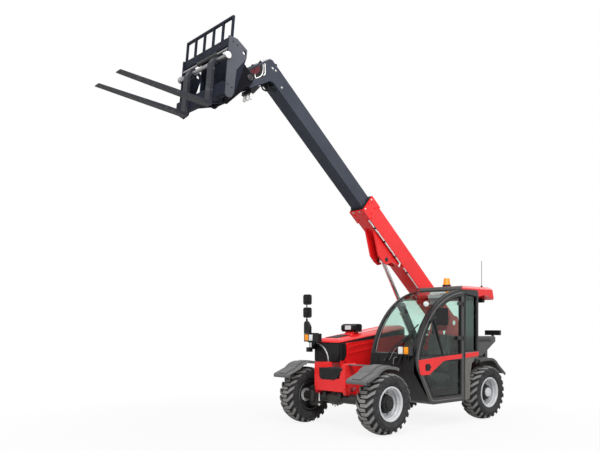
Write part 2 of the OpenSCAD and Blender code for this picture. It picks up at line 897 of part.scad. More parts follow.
module head_lamps() {
  right_x = 1010;
  color("dimgray") {
    lamp_box(lamp_x + 90, cab_left - 240, cab_left - 30, belt_z + 35, belt_z + 165, [cab_left - 228, cab_left - 130]);
    block([lamp_x, cab_left - 180, belt_z - 30], [lamp_x + 30, cab_left - 120, belt_z + 40]);
    lamp_box(right_x, -960, -640, 1195, 1320, [-948, -852]);
    block([bay_front, bay_right, 1080], [right_x - 50, bay_right + 28, 1150]);
    block([right_x - 85, bay_right, 1145], [right_x - 50, bay_right + 70, 1200]);
    block([right_x - 80, -920, 1040], [right_x - 10, -850, 1110]);
    rod([right_x - 50, -880, 1105], [right_x - 50, -880, 1200], 8);
  }
}

module rear_lamps() {
  color("dimgray")
    for (s = [-1, 1]) {
      block([-1690, s > 0 ? 500 : -770, 1285], [-1640, s > 0 ? 770 : -500, 1365]);
      block([-1660, s * 640 - 20, 1245], [-1640, s * 640 + 20, 1290]);
      block([-1660, s * 640 - 20, 1230], [-1510, s * 640 + 20, 1250]);
    }
}

module right_mirrors() {
  color("dimgray") {
    rod([965, -945, 1320], [965, -945, 1900], 9);
    for (z = [1640, 1840])
      translate([965, -945, z])
        rotate([0, 0, 35]) {
          across_x(-62, -28)
            polygon(rounded([-65, -80], [65, 80], 30));
          block([-30, -7, -8], [0, 7, 8]);
        }
  }
}

module door() {
  color("dimgray") {
    difference() {
      slab(cab_left - post, cab_left)
        polygon(door_outline(post + door_gap, b_post + 48 + door_gap));
      slab(cab_left - post - 1, cab_left + 1)
        door_panes();
    }
    for (z = [hinge_low, hinge_high]) {
      translate([hinge_x, hinge_y, z])
        cylinder(h = 25, r = 11);
      block([hinge_x + 4, cab_left - 2, z], [hinge_x + 60, hinge_y, z + 25]);
    }
  }
}

module door_panes() {
  d = post + door_gap + 48;
  intersection() {
    polygon(door_outline(d, b_post + 48 + door_gap + 48));
    translate([-1000, belt_z + 20])
      square([2500, 2000]);
  }
  intersection() {
    polygon(door_outline(d, b_post + 48 + door_gap + 48));
    translate([-1000, 0])
      square([2500, belt_z - 60]);
  }
}

module door_glass() {
  color("lightblue")
    slab(cab_left - 20 - glass_t, cab_left - 20)
      door_panes();
}

module door_belt() {
  x = lamp_x - 70;
  z = belt_z;
  color("firebrick")
    slab(cab_left, cab_left + 6)
      polygon([[b_post + 80, z - 40], [b_post + 80, z + 28], [x, z - 32], [x - 25, z - 200], [x - 60, z - 245],
        [x - 260, z - 245], [x - 305, z - 200], [x - 330, z - 100], [x - 360, z - 70]]);
}

module left_mirror() {
  x = cab_cx + (cab_r - 75) * cos(39.5);
  z = cab_cz + (cab_r - 75) * sin(39.5);
  color("black") {
    block([x - 16, cab_left, z - 16], [x + 16, cab_left + 14, z + 16]);
    rod([x, cab_left + 8, z], [x - 95, cab_left + 105, z + 66], 9);
    translate([x - 120, cab_left + 120, z + 71])
      rotate([0, 0, 48])
        across_x(-20, 22)
          polygon(rounded([-80, -120], [80, 120], 32));
  }
}

module boom_pin() {
  color("silver")
    bar_y(pivot_x, pivot_z, pivot_r, bay_left - 15, cab_right);
}

module box_y(x0, x1, w, z0, z1) {
  block([x0, -w / 2, z0], [x1, w / 2, z1]);
}

module boom_outer() {
  h = outer_h / 2;
  color("firebrick")
    in_boom()
      difference() {
        union() {
          box_y(60, outer_len, outer_w, -h, h);
          rotate([90, 0, 0])
            translate([0, 0, -outer_w / 2])
              linear_extrude(outer_w)
                polygon([[-110, -60], [-110, 40], [-40, h], [120, h], [120, -h], [-40, -h]]);
          box_y(outer_len - 230, outer_len, outer_w + 24, -h - 14, h + 14);
          for (s = [-1, 1])
            translate([0, s > 0 ? lift_ear + 25 : -lift_ear, 0])
              rotate([90, 0, 0])
                linear_extrude(25)
                  polygon([[1500, -h], [2360, -h], [2000, -375], [1880, -382], [1790, -365], [1700, -240]]);
        }
        box_y(160, outer_len + 1, outer_w - 2 * boom_wall, -h + boom_wall, h - boom_wall);
        bar_y(0, 0, pivot_r + fit, -outer_w / 2 - 1, outer_w / 2 + 1);
      }
}

function head_outline() = [[4780, inner_h / 2], [5080, inner_h / 2], [5120, inner_h / 2 - 40], [5285, -400],
  [5250, -460], [5060, -460], [4930, -inner_h / 2 - 30], [4880, -inner_h / 2], [4780, -inner_h / 2]];

module boom_inner() {
  h = inner_h / 2;
  start = outer_len - inner_overlap;
  color("slategray")
    in_boom()
      difference() {
        union() {
          difference() {
            box_y(start, inner_end, inner_w, -h, h);
            box_y(start - 1, inner_end + 1, inner_w - 2 * boom_wall, -h + boom_wall, h - boom_wall);
          }
          for (s = [-1, 1])
            translate([0, s > 0 ? inner_w / 2 : -inner_w / 2 + 20, 0])
              rotate([90, 0, 0])
                linear_extrude(20)
                  polygon(head_outline());
          box_y(5010, 5080, inner_w, h - 12, h);
          // Wear pads between the two sections
          box_y(start + 20, start + 140, outer_w - 2 * boom_wall - 2, -outer_h / 2 + boom_wall + 1, -h);
          box_y(start + 20, start + 140, outer_w - 2 * boom_wall - 2, h, outer_h / 2 - boom_wall - 1);
          bar_y(tilt_foot_s, tilt_foot_t, 20, -inner_w / 2, inner_w / 2);
        }
        bar_y(head_s, -head_drop, 28 + fit, -inner_w / 2 - 1, inner_w / 2 + 1);
      }
}

module in_lift() {
  translate([lift_foot_x, boom_y, lift_foot_z])
    rotate([0, -lift_angle, 0])
      children();
}

module lift_barrel() {
  color("slategray")
    in_lift()
      difference() {
        union() {
          bar_y(0, 0, 52, -44, 44);
          translate([40, 0, 0])
            rotate([0, 90, 0])
              cylinder(h = lift_barrel_len - 40, r = lift_barrel_r);
        }
        bar_y(0, 0, 30 + fit, -45, 45);
        translate([90, 0, 0])
          rotate([0, 90, 0])
            cylinder(h = lift_barrel_len, r = lift_rod_r + fit);
      }
}

module lift_rod() {
  color("silver")
    in_lift()
      difference() {
        union() {
          translate([lift_len - lift_rod_len, 0, 0])
            rotate([0, 90, 0])
              cylinder(h = lift_rod_len - 24, r = lift_rod_r);
          bar_y(lift_len, 0, 40, -32, 32);
        }
        bar_y(lift_len, 0, 25, -33, 33);
      }
}

module in_tilt() {
  in_boom()
    translate([tilt_foot_s, 0, tilt_foot_t])
      rotate([0, -tilt_angle, 0])
        children();
}

module tilt_barrel() {
  color("dimgray")
    in_tilt()
      difference() {
        union() {
          bar_y(0, 0, 36, -60, 60);
          translate([28, 0, 0])
            rotate([0, 90, 0])
              cylinder(h = tilt_barrel_len - 28, r = tilt_barrel_r);
        }
        bar_y(0, 0, 20 + fit, -61, 61);
        translate([60, 0, 0])
          rotate([0, 90, 0])
            cylinder(h = tilt_barrel_len, r = tilt_rod_r + fit);
      }
}

module tilt_rod() {
  color("silver")
    in_tilt()
      difference() {
        union() {
          translate([tilt_len - 330, 0, 0])
            rotate([0, 90, 0])
              cylinder(h = 310, r = tilt_rod_r);
          bar_y(tilt_len, 0, 32, -24, 24);
        }
        bar_y(tilt_len, 0, 20, -25, 25);
      }
}

// Coupler: two cheeks on the carriage pivot, with the tilt lever and a face plate
module coupler() {
  face = heel_u - 277;
  color("slategray")
    in_carriage() {
      for (s = [-1, 1])
        slab(s * (inner_w / 2 + 6), s * (inner_w / 2 + 31))
          polygon([[-60, 0], [-45, 45], [0, 62], [lever_u, lever_v + 45], [face, 150], [face, -430],
            [face - 50, -430], [-40, -50]]);
      for (s = [-1, 1])
        slab(s * 34, s * 56)
          polygon([[lever_u - 40, lever_v - 10], [lever_u, lever_v + 45], [face, 120], [face, -60],
            [lever_u + 60, lever_v - 60]]);
      block([face - 30, -inner_w / 2 - 31, -430], [face, inner_w / 2 + 31, 150]);
      // Pivot stubs, apart so that the tilt rod passes between them
      bar_y(0, 0, 28, -inner_w / 2 - 31, -inner_w / 2 + 20);
      bar_y(0, 0, 28, inner_w / 2 - 20, inner_w / 2 + 31);
    }
}

// Fork frame: end plates, middle plates and two cross beams
module end_plate() {
  u = heel_u;
  v = -heel_v;
  difference() {
    polygon([[u - 40, v + 780], [u - 150, v + 780], [u - 300, v + 700], [u - 300, v + 600], [u - 170, v + 120],
      [u - 110, v + 60], [u - 40, v + 90]]);
    translate([u - 262, v + 655])
      circle(r = 22);
  }
}

module fork_frame() {
  u = heel_u;
  v = -heel_v;
  w = carriage_w / 2;
  color("slategray")
    in_carriage()
      difference() {
        union() {
          for (s = [-1, 1])
            slab(s * (w - 20), s * w)
              end_plate();
          for (s = [-1, 1])
            slab(s * 90, s * 115)
              polygon([[u - 277, v + 168], [u - 277, v + 748], [u - 80, v + 780], [u - 80, v + 90]]);
          block([u - 110, -w, v + 680], [u - 60, w, v + 780]);
          block([u - 70, -w, v + 80], [u, w, v + 230]);
        }
        bar_y(u - 35, v + 540, shaft_r + fit, -w - 1, w + 1);
      }
}

module load_guard() {
  u = heel_u - 100;
  v = -heel_v + 780;
  w = carriage_w / 2;
  color("slategray")
    in_carriage() {
      block([u, -w, v + 225], [u + 30, w, v + 255]);
      for (i = [0:5])
        translate([0, -w + 12 + i * (2 * w - 24) / 5, 0])
          block([u, -12, v], [u + 30, 12, v + 226]);
    }
}

module fork_shaft() {
  w = carriage_w / 2;
  color("silver")
    in_carriage() {
      bar_y(heel_u - 35, -heel_v + 540, shaft_r, -w - 20, w + 20);
      for (s = [-1, 1])
        bar_y(heel_u - 35, -heel_v + 540, shaft_r + 16, s > 0 ? w : -w - 20, s > 0 ? w + 20 : -w);
    }
}

module fork(side) {
  u = heel_u;
  v = -heel_v;
  y = side * fork_gap / 2;
  color("dimgray")
    in_carriage()
      difference() {
        union() {
          slab(y - fork_w / 2, y + fork_w / 2)
            polygon([[u, v], [u + fork_len, v], [u + fork_len, v + 12], [u + 250, v + fork_t],
              [u + fork_t, v + fork_t], [u + fork_t, v + 500], [u + 10, v + 560], [u, v + 560]]);
          bar_y(u - 35, v + 540, 48, y - fork_w / 2, y + fork_w / 2);
        }
        bar_y(u - 35, v + 540, shaft_r + fit, y - fork_w / 2 - 1, y + fork_w / 2 + 1);
      }
}

module place() {
  translate([-mid_x, 0, 0])
    children();
}

place() main_frame();
place() boom_rest();
place() counterweight();
place() color("black") axle(1);  // front_axle
place() color("black") axle(-1);  // rear_axle
place() steer_rod(1);  // front_steer_rod
place() steer_rod(-1);  // rear_steer_rod
place() engine_block();
place() bay_panels();
place() front_grille();
place() hood();
place() hood_lamp();
place() rear_bodies();
place() front_fenders();
place() rear_fenders();
place() cab_frame();
place() windscreen();
place() cab_windows();
place() cab_roof();
place() quarter_panel();
place() seat();
place() steering_console();
place() beacon();
place() aerial();
place() head_lamps();
place() rear_lamps();
place() right_mirrors();
place() door();
place() door_glass();
place() door_belt();
place() left_mirror();
place() boom_pin();
place() boom_outer();
place() boom_inner();
place() lift_barrel();
place() lift_rod();
place() tilt_barrel();
place() tilt_rod();
place() coupler();
place() fork_frame();
place() load_guard();
place() fork_shaft();
place() fork(1);  // fork_left
place() fork(-1);  // fork_right
place() knuckle(1, 1);  // knuckle_fl
place() knuckle(1, -1);  // knuckle_fr
place() knuckle(-1, 1);  // knuckle_rl
place() knuckle(-1, -1);  // knuckle_rr
place() rim(1, 1);  // rim_fl
place() rim(1, -1);  // rim_fr
place() rim(-1, 1);  // rim_rl
place() rim(-1, -1);  // rim_rr
place() tyre(1, 1);  // tyre_fl
place() tyre(1, -1);  // tyre_fr
place() tyre(-1, 1);  // tyre_rl
place() tyre(-1, -1);  // tyre_rr
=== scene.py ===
"""Looks of a compact telescopic handler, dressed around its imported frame. Metres, +X forward, +Y left, +Z up."""
from math import acos, asin, atan2, cos, hypot, pi, radians, sin, sqrt, tan, tau

import bmesh
import bpy
from mathutils import Matrix, Vector


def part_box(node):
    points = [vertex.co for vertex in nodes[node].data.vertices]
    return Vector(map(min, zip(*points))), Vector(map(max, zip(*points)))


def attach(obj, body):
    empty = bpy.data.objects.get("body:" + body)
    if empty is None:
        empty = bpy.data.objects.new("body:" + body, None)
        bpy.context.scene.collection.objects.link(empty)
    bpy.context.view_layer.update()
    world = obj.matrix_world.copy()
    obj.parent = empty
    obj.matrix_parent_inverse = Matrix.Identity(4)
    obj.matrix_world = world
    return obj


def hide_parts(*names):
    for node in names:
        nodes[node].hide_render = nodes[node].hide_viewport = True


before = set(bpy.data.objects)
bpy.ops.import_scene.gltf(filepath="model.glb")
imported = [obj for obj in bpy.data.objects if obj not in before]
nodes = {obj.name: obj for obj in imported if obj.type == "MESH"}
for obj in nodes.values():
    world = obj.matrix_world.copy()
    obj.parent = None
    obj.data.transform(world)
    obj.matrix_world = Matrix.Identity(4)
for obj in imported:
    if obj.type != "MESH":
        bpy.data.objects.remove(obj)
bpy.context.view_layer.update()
scene = bpy.context.scene


# Driving sizes, measured from the middle of the wheelbase

def middle(node):
    low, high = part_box(node)
    return (low + high) / 2


MID_X = (middle("rim_fl").x + middle("rim_rl").x) / 2


def at(x, y, z):
    """A point given from the middle of the wheelbase, in the row frame."""
    return Vector((x + MID_X, y, z))


SIDES = (-1, 1)
CAB_CURVE = (-0.55, 0.785, 1.19)
CAB_SIDES = (0.06, 0.88)
SILL_Z = 0.335
B_POST_X = -0.53
DOOR_RING = 0.099
CAB_TOP = 1.975
BOOM_PIVOT = at(-1.42, -0.12, 1.484)
BOOM_ANGLE = radians(40.2)
CARRIAGE_PIVOT = at(2.7794, -0.12, 4.509)
CARRIAGE_TILT = radians(5.5)


def swung(pivot, angle, u, y, v):
    c, n = cos(angle), sin(angle)
    return pivot + Vector((u * c - v * n, y, u * n + v * c))


def in_boom(s, y, t):
    """A point along the boom: s from its pivot, y from its own plane, t square to it."""
    return swung(BOOM_PIVOT, BOOM_ANGLE, s, y, t)


def in_carriage(x, y, z):
    """A point from the carriage pivot: x along the forks, y from the boom's plane, z up the plates."""
    return swung(CARRIAGE_PIVOT, CARRIAGE_TILT, x, y, z)


# Materials

def feed(tree, node, inputs):
    """Set inputs of a node: constants stay on the socket, outputs of other nodes are linked."""
    for key, value in inputs.items():
        if isinstance(value, bpy.types.NodeSocket):
            tree.links.new(value, node.inputs[key])
        else:
            node.inputs[key].default_value = value


def add(tree, kind, inputs, **settings):
    node = tree.nodes.new("ShaderNode" + kind)
    for key, value in settings.items():
        setattr(node, key, value)
    feed(tree, node, inputs)
    return node


def base(name, color, inputs):
    mat = bpy.data.materials.new(name)
    mat.use_nodes = True
    mat.diffuse_color = (*color, 1)
    shade = mat.node_tree.nodes["Principled BSDF"]
    feed(mat.node_tree, shade, {"Base Color": (*color, 1), **inputs})
    return mat, mat.node_tree, shade


def place(tree):
    return add(tree, "TexCoord", {}).outputs["Object"]


def noise(tree, scale, detail=4.0, rough=0.55):
    field = {"Scale": scale, "Detail": detail, "Roughness": rough, "Vector": place(tree)}
    return add(tree, "TexNoise", field).outputs["Fac"]


def ramp(tree, fac, low, high, a, b):
    node = add(tree, "ValToRGB", {"Fac": fac})
    for stop, position, color in zip(node.color_ramp.elements, (low, high), (a, b)):
        stop.position = position
        stop.color = (*color, 1)
    return node.outputs["Color"]


def mottled(tree, color, scale, detail, low, high):
    """A colour that wanders between low and high times itself."""
    a, b = (tuple(min(1.0, c * k) for c in color) for k in (low, high))
    return ramp(tree, noise(tree, scale, detail), 0.3, 0.7, a, b)


def remap(tree, value, a, b, low, high):
    node = add(tree, "MapRange", {"Value": value, "From Min": a, "From Max": b, "To Min": low, "To Max": high})
    return node.outputs["Result"]


def math_node(tree, operation, a, b):
    return add(tree, "Math", {0: a, 1: b}, operation=operation).outputs["Value"]


def blend(tree, share, shown, dust):
    node = add(tree, "Mix", {"Factor": share, "A": shown, "B": (*dust, 1)}, data_type="RGBA")
    return node.outputs["Result"]


def dusted(tree, shown, dust, top, amount):
    """Colour with dust that thins out upward to the height top."""
    height = add(tree, "SeparateXYZ", {"Vector": place(tree)}).outputs["Z"]
    rise = remap(tree, height, 0.0, top, amount, 0.0)
    return blend(tree, math_node(tree, "MULTIPLY", rise, noise(tree, 5.0, 8.0, 0.7)), shown, dust)


def bump(tree, shade, height, strength, distance):
    node = add(tree, "Bump", {"Strength": strength, "Distance": distance, "Height": height})
    feed(tree, shade, {"Normal": node.outputs["Normal"]})


def surface(tree, shade, shown, gloss, low, high, *relief):
    """Join a colour, a roughness from low to high and a relief (height, strength, distance) to the shader."""
    feed(tree, shade, {"Base Color": shown, "Roughness": remap(tree, gloss, 0.3, 0.7, low, high)})
    bump(tree, shade, *relief)


def paint(name, color, rough=0.3, coat=0.35, mottle=0.08, dust=0.25, gloss=0.3):
    """Sprayed enamel: slight orange peel, uneven gloss and a little dust low down."""
    mat, tree, shade = base(name, color, {"Coat Weight": coat, "Coat Roughness": 0.12, "Specular IOR Level": gloss})
    shown = mottled(tree, color, 3.0, 6.0, 1 - mottle, 1 + mottle)
    surface(tree, shade, dusted(tree, shown, (0.22, 0.2, 0.17), 1.1, dust), noise(tree, 9.0, 5.0),
            rough * 0.8, rough * 1.25, noise(tree, 420.0, 2.0), 0.05, 0.0006)
    return mat


def plastic(name, color, rough=0.5, dust=0.3, grain=900.0, depth=0.25):
    """Moulded plastic with a fine leathery grain."""
    mat, tree, shade = base(name, color, {"Specular IOR Level": 0.18})
    shown = mottled(tree, color, 14.0, 6.0, 0.88, 1.12)
    surface(tree, shade, dusted(tree, shown, (0.2, 0.19, 0.17), 0.9, dust), noise(tree, 30.0, 4.0),
            rough * 0.85, rough * 1.2, noise(tree, grain, 3.0), depth, 0.0005)
    return mat


def rubber(name, color, dust, amount):
    """Moulded rubber with a dry, uneven bloom."""
    mat, tree, shade = base(name, color, {"Specular IOR Level": 0.2})
    pale = tuple(c + (d - c) * amount for c, d in zip(color, dust))
    surface(tree, shade, ramp(tree, noise(tree, 7.0, 9.0, 0.7), 0.35, 0.75, color, pale), noise(tree, 22.0, 6.0),
            0.6, 0.9, noise(tree, 160.0, 8.0, 0.65), 0.35, 0.0012)
    return mat


def tread_rubber(name, color, dust, radius, crown):
    """Tyre rubber in the wheel's own frame, pale with dust on top of its lugs."""
    mat = rubber(name, color, dust, 0.12)
    tree = mat.node_tree
    shown = tree.nodes["Principled BSDF"].inputs["Base Color"]
    x2, y2, z2 = (math_node(tree, "MULTIPLY", v, v) for v in add(tree, "SeparateXYZ", {"Vector": place(tree)}).outputs)
    out = math_node(tree, "SQRT", math_node(tree, "ADD", x2, y2), 0.0)
    level = math_node(tree, "ADD", out, math_node(tree, "MULTIPLY", z2, 0.5 / crown))
    top = remap(tree, level, radius - 0.016, radius - 0.003, 0.0, 1.0)
    patchy = remap(tree, noise(tree, 26.0, 7.0, 0.7), 0.3, 0.7, 0.45, 1.0)
    plain = shown.links[0].from_socket
    tree.links.new(blend(tree, math_node(tree, "MULTIPLY", top, patchy), plain, dust), shown)
    return mat


def metal(name, color, rough, bite=0.1):
    """Bare or plated metal with an uneven shine."""
    mat, tree, shade = base(name, color, {"Metallic": 1.0})
    streak = noise(tree, 60.0, 5.0, 0.6)
    surface(tree, shade, mottled(tree, color, 25.0, 6.0, 0.86, 1.06), streak, rough * 0.7, rough * 1.4,
            streak, bite, 0.0004)
    return mat


def worn(name, color, under, rough):
    """Paint rubbed through to steel in patches."""
    mat, tree, shade = base(name, color, {"Specular IOR Level": 0.2})
    surface(tree, shade, ramp(tree, noise(tree, 11.0, 10.0, 0.72), 0.56, 0.68, color, under), noise(tree, 40.0, 6.0),
            rough * 0.7, rough * 1.2, noise(tree, 150.0, 6.0), 0.2, 0.0006)
    return mat


def glass(name, color):
    mat, tree, shade = base(name, color, {"Roughness": 0.0, "Transmission Weight": 1.0, "IOR": 1.25})
    feed(tree, shade, {"Base Color": mottled(tree, color, 2.0, 3.0, 0.97, 1.02)})
    return mat


def lens(name, color, glow=0.35, rough=0.16, coat=0.2):
    """Moulded lens with fine ribs over a bright bowl."""
    mat, tree, shade = base(name, color, {"Roughness": rough, "Transmission Weight": glow, "Coat Weight": coat})
    feed(tree, shade, {"Base Color": mottled(tree, color, 30.0, 3.0, 0.85, 1.08)})
    ribs = add(tree, "TexWave", {"Scale": 55.0, "Vector": place(tree)}, bands_direction="Y")
    bump(tree, shade, ribs.outputs["Fac"], 0.25, 0.001)
    return mat


WHEEL_R = (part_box("tyre_fl")[1].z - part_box("tyre_fl")[0].z) / 2
TREAD_R = 0.32
FINISHES = {
    "red_paint": (paint, (0.7, 0.01, 0.012), 0.34, 0.12, 0.05, 0.06),
    "slate_paint": (paint, (0.04, 0.045, 0.06), 0.46, 0.0, 0.12, 0.25, 0.08),
    "dark_paint": (paint, (0.052, 0.052, 0.053), 0.38, 0.12, 0.1),
    "grey_plastic": (plastic, (0.078, 0.077, 0.075), 0.55),
    "black_plastic": (plastic, (0.01, 0.01, 0.011), 0.42),
    "black_paint": (paint, (0.01, 0.01, 0.011), 0.34, 0.15),
    "cast_black": (paint, (0.014, 0.014, 0.015), 0.5, 0.05, 0.25, 0.25),
    "bright_steel": (metal, (0.92, 0.92, 0.93), 0.3, 0.01),
    "fork_steel": (worn, (0.017, 0.018, 0.024), (0.06, 0.06, 0.062), 0.5),
    "cab_glass": (glass, (0.7, 0.86, 0.8)),
    "seat_vinyl": (plastic, (0.022, 0.022, 0.024), 0.6, 0.3, 420.0, 0.4),
    "amber_lens": (lens, (0.95, 0.31, 0.002), 0.04, 0.42, 0.0),
    "rim_silver": (paint, (0.55, 0.56, 0.58), 0.3, 0.3, 0.06, 0.35),
    "tyre_rubber": (tread_rubber, (0.02, 0.02, 0.022), (0.27, 0.264, 0.257), WHEEL_R, TREAD_R),
    "panel_brown": (plastic, (0.135, 0.129, 0.12), 0.5, 0.1),
    "seal_rubber": (rubber, (0.012, 0.012, 0.013), (0.05, 0.05, 0.05), 0.3),
    "white_lens": (lens, (0.8, 0.82, 0.82), 0.15),
    "red_lens": (lens, (0.62, 0.012, 0.012), 0.3),
    "mirror_face": (metal, (0.86, 0.88, 0.9), 0.04, 0.0),
    "white_paint": (paint, (0.66, 0.66, 0.64), 0.45, 0.1, 0.05),
    "zinc": (metal, (0.52, 0.52, 0.51), 0.4),
    # A darker copy of the carriage slate, painted shade on its frame and load guard.
    "carriage_paint": (paint, (0.01, 0.012, 0.02), 0.55, 0.0, 0.15, 0.0, 0.07),
    "shaft_steel": (metal, (0.3, 0.3, 0.31), 0.44),
    "arc_grey": (metal, (0.3, 0.3, 0.3), 0.46),
    "valve_red": (paint, (0.08, 0.014, 0.02), 0.5, 0.0, 0.1, 0.0, 0.15),
    "hub_black": (paint, (0.016, 0.016, 0.017), 0.5, 0.03, 0.25, 0.0, 0.2),
    "cap_silver": (paint, (0.55, 0.56, 0.58), 0.3, 0.3, 0.06, 0.0),
    "hood_red": (paint, (0.7, 0.01, 0.012), 0.3, 0.3, 0.05, 0.06, 0.4),
    # A lighter copy of the carriage slate, painted light on its ends.
    "plate_slate": (paint, (0.058, 0.06, 0.074), 0.45, 0.02, 0.12, 0.0, 0.2),
    "coupler_black": (paint, (0.005, 0.005, 0.007), 0.6, 0.0, 0.15, 0.0, 0.05),
    # A pale grey that stands in for painted highlights on the door frame and the screen's edge, and for pale lines on
    # the cowl.
    "edge_grey": (plastic, (0.19, 0.19, 0.188), 0.45, 0.0),
    "fender_grey": (plastic, (0.112, 0.112, 0.114), 0.5),
    # A dark tint for the film that paints shade behind the quarter window.
    "dark_glass": (glass, (0.06, 0.075, 0.075)),
    "smoke_glass": (glass, (0.2, 0.23, 0.23)),
}
MATS = {name: make(name, *values) for name, (make, *values) in FINISHES.items()}


# Mesh tools: each adds to one working mesh in the row frame, which piece() finishes and empties

bm = bmesh.new()
HERE = Matrix.Identity(4)


def spaced(n, r, start=0.0):
    """Points (x, y) spaced evenly round a circle."""
    return [(r * cos(a), r * sin(a)) for a in ((k + start) * tau / n for k in range(n))]


def arc(c, r, a0, a1, n):
    turns = [a0 + (a1 - a0) * k / n for k in range(n + 1)]
    return [(c[0] + r * cos(a), c[1] + r * sin(a)) for a in turns]


def box(low, high, spot=at):
    """A block between two corners, in the frame that spot gives."""
    for v in bmesh.ops.create_cube(bm, size=1.0)["verts"]:
        v.co = spot(*((a + b) / 2 + c * (b - a) for a, b, c in zip(low, high, v.co)))


def loft(rings, closed=True):
    """Skin rings of points, with a flat cap at each end."""
    rings = [[bm.verts.new(p) for p in points] for points in rings]
    for p, q in zip(rings, rings[1:]):
        for k in range(len(p) if closed else len(p) - 1):
            m = (k + 1) % len(p)
            bm.faces.new((p[k], p[m], q[m], q[k]))
    bm.faces.new(rings[0])
    bm.faces.new(list(reversed(rings[-1])))


def crowned(where, outline, steps):
    """An outline (y, z) carried through (scale, x) steps in the frame where."""
    loft([[where @ Vector((x, a * grow, b * grow)) for a, b in outline] for grow, x in steps])


def turned(a, b):
    """A matrix that carries +Z onto the line from a to b."""
    d = Vector(b) - Vector(a)
    return Matrix.Translation(Vector(a)) @ d.to_track_quat("Z", "Y").to_matrix().to_4x4()


def lathe(profile, where=HERE, seg=32):
    """Turn (radius, height) pairs about the local Z axis of the matrix where."""
    rings = [[bm.verts.new(where @ Vector((x, y, h))) for x, y in (spaced(seg, r) if r > 1e-6 else [(0, 0)])]
             for r, h in profile]
    for p, q in zip(rings, rings[1:]):
        for k in range(seg):
            m = (k + 1) % seg
            if len(p) == 1 and len(q) > 1:
                bm.faces.new((p[0], q[k], q[m]))
            elif len(q) == 1 and len(p) > 1:
                bm.faces.new((p[k], p[m], q[0]))
            elif len(p) > 1:
                bm.faces.new((p[k], p[m], q[m], q[k]))


def rod(a, b, r, seg=20):
    """A round bar with softened ends."""
    n = (Vector(b) - Vector(a)).length
    e = min(r * 0.15, n / 4)
    lathe([(0, 0), (r - e, 0), (r, e), (r, n - e), (r - e, n), (0, n)], turned(a, b), seg)


def bolt(a, direction, r, h):
    """A bolt: washer, hexagon head and a domed top."""
    where = turned(a, Vector(a) + Vector(direction))
    lathe([(0, 0), (r * 1.35, 0), (r * 1.35, h * 0.2), (0, h * 0.2)], where, 18)
    lathe([(0, h * 0.2), (r, h * 0.2), (r, h * 0.85), (r * 0.8, h), (0, h)], where, 6)


def end_caps(spot, u, y, v, profile, seg=28):
    """A turned cap on each side of a frame's plane, facing out."""
    for side in SIDES:
        lathe(profile, turned(spot(u, side * y, v), spot(u, side * (y + 0.02), v)), seg)


def plate(points, y0, y1, spot=at):
    """A flat plate from a side outline, in the frame that spot gives."""
    loft([[spot(u, y, v) for u, v in points] for y in (y0, y1)])


def plates(points, y0, y1, spot=at):
    """The same plate on both sides of a frame's plane."""
    for side in SIDES:
        plate(points, side * y0, side * y1, spot)


def front_plate(points, x0, x1):
    """A flat plate from an outline (y, z) seen from the front."""
    loft([[at(x, y, z) for y, z in points] for x in (x0, x1)])


def tube(path, r, seg=10, closed=False):
    """Sweep a round section along a path."""
    path = [Vector(p) for p in path]
    count = len(path)
    rings = []
    up = Vector((0.13, 0.31, 0.94))
    for k, p in enumerate(path):
        before = path[k - 1] if k or closed else p
        after = path[(k + 1) % count] if k + 1 < count or closed else p
        d = (after - before).normalized()
        side = d.cross(up)
        if side.length < 1e-4:
            side = d.cross(Vector((1, 0, 0)))
        side.normalize()
        up = side.cross(d).normalized()
        rings.append([bm.verts.new(p + side * x + up * y) for x, y in spaced(seg, r)])
    pairs = list(zip(rings, rings[1:])) + ([(rings[-1], rings[0])] if closed else [])
    for p, q in pairs:
        shift = min(range(seg), key=lambda s: (q[s].co - p[0].co).length) if q is rings[0] else 0
        for j in range(seg):
            n = (j + 1) % seg
            bm.faces.new((p[j], p[n], q[(n + shift) % seg], q[(j + shift) % seg]))
    if not closed:
        bm.faces.new(list(reversed(rings[0])))
        bm.faces.new(rings[-1])


def smooth_path(points, steps=8):
    """A rounded path through the points."""
    p = [Vector(q) for q in points]
    p = [p[0] * 2 - p[1]] + p + [p[-1] * 2 - p[-2]]
    out = []
    for k in range(1, len(p) - 2):
        a, b, c, d = p[k - 1:k + 3]
        for t in (j / steps for j in range(steps)):
            out.append(0.5 * (2 * b + (c - a) * t + (2 * a - 5 * b + 4 * c - d) * t * t
                              + (3 * b - a - 3 * c + d) * t ** 3))
    return out + [p[-2]]


def hose(spot, points, r, steps=8, seg=10):
    """A smooth tube through points of the frame that spot gives."""
    tube(smooth_path([spot(*p) for p in points], steps), r, seg)


def dense(points, step=0.06, closed=True):
    """The same line with points at most a step apart."""
    out = []
    for p, q in zip(points, points[1:] + ([points[0]] if closed else [])):
        n = max(1, int((Vector(q) - Vector(p)).length / step))
        out += [Vector(p).lerp(Vector(q), k / n) for k in range(n)]
    return out if closed else out + [Vector(points[-1])]


def rounded_rect(w, h, r, u=0.0, v=0.0, n=5):
    """A rounded rectangle about (u, v)."""
    x, y = w / 2 - r, h / 2 - r
    out = []
    for k, (cx, cy) in enumerate(((x, y), (-x, y), (-x, -y), (x, -y))):
        out += arc((u + cx, v + cy), r, k * pi / 2, (k + 1) * pi / 2, n)
    return out


def put(name, data):
    obj = bpy.data.objects.new(name, data)
    scene.collection.objects.link(obj)
    return obj


def soften(obj, width, angle):
    """Round the edges that turn by more than an angle."""
    soft = obj.modifiers.new("edges", "BEVEL")
    soft.width = width
    soft.segments = 2
    soft.limit_method = "ANGLE"
    soft.angle_limit = radians(angle)
    soft.harden_normals = True


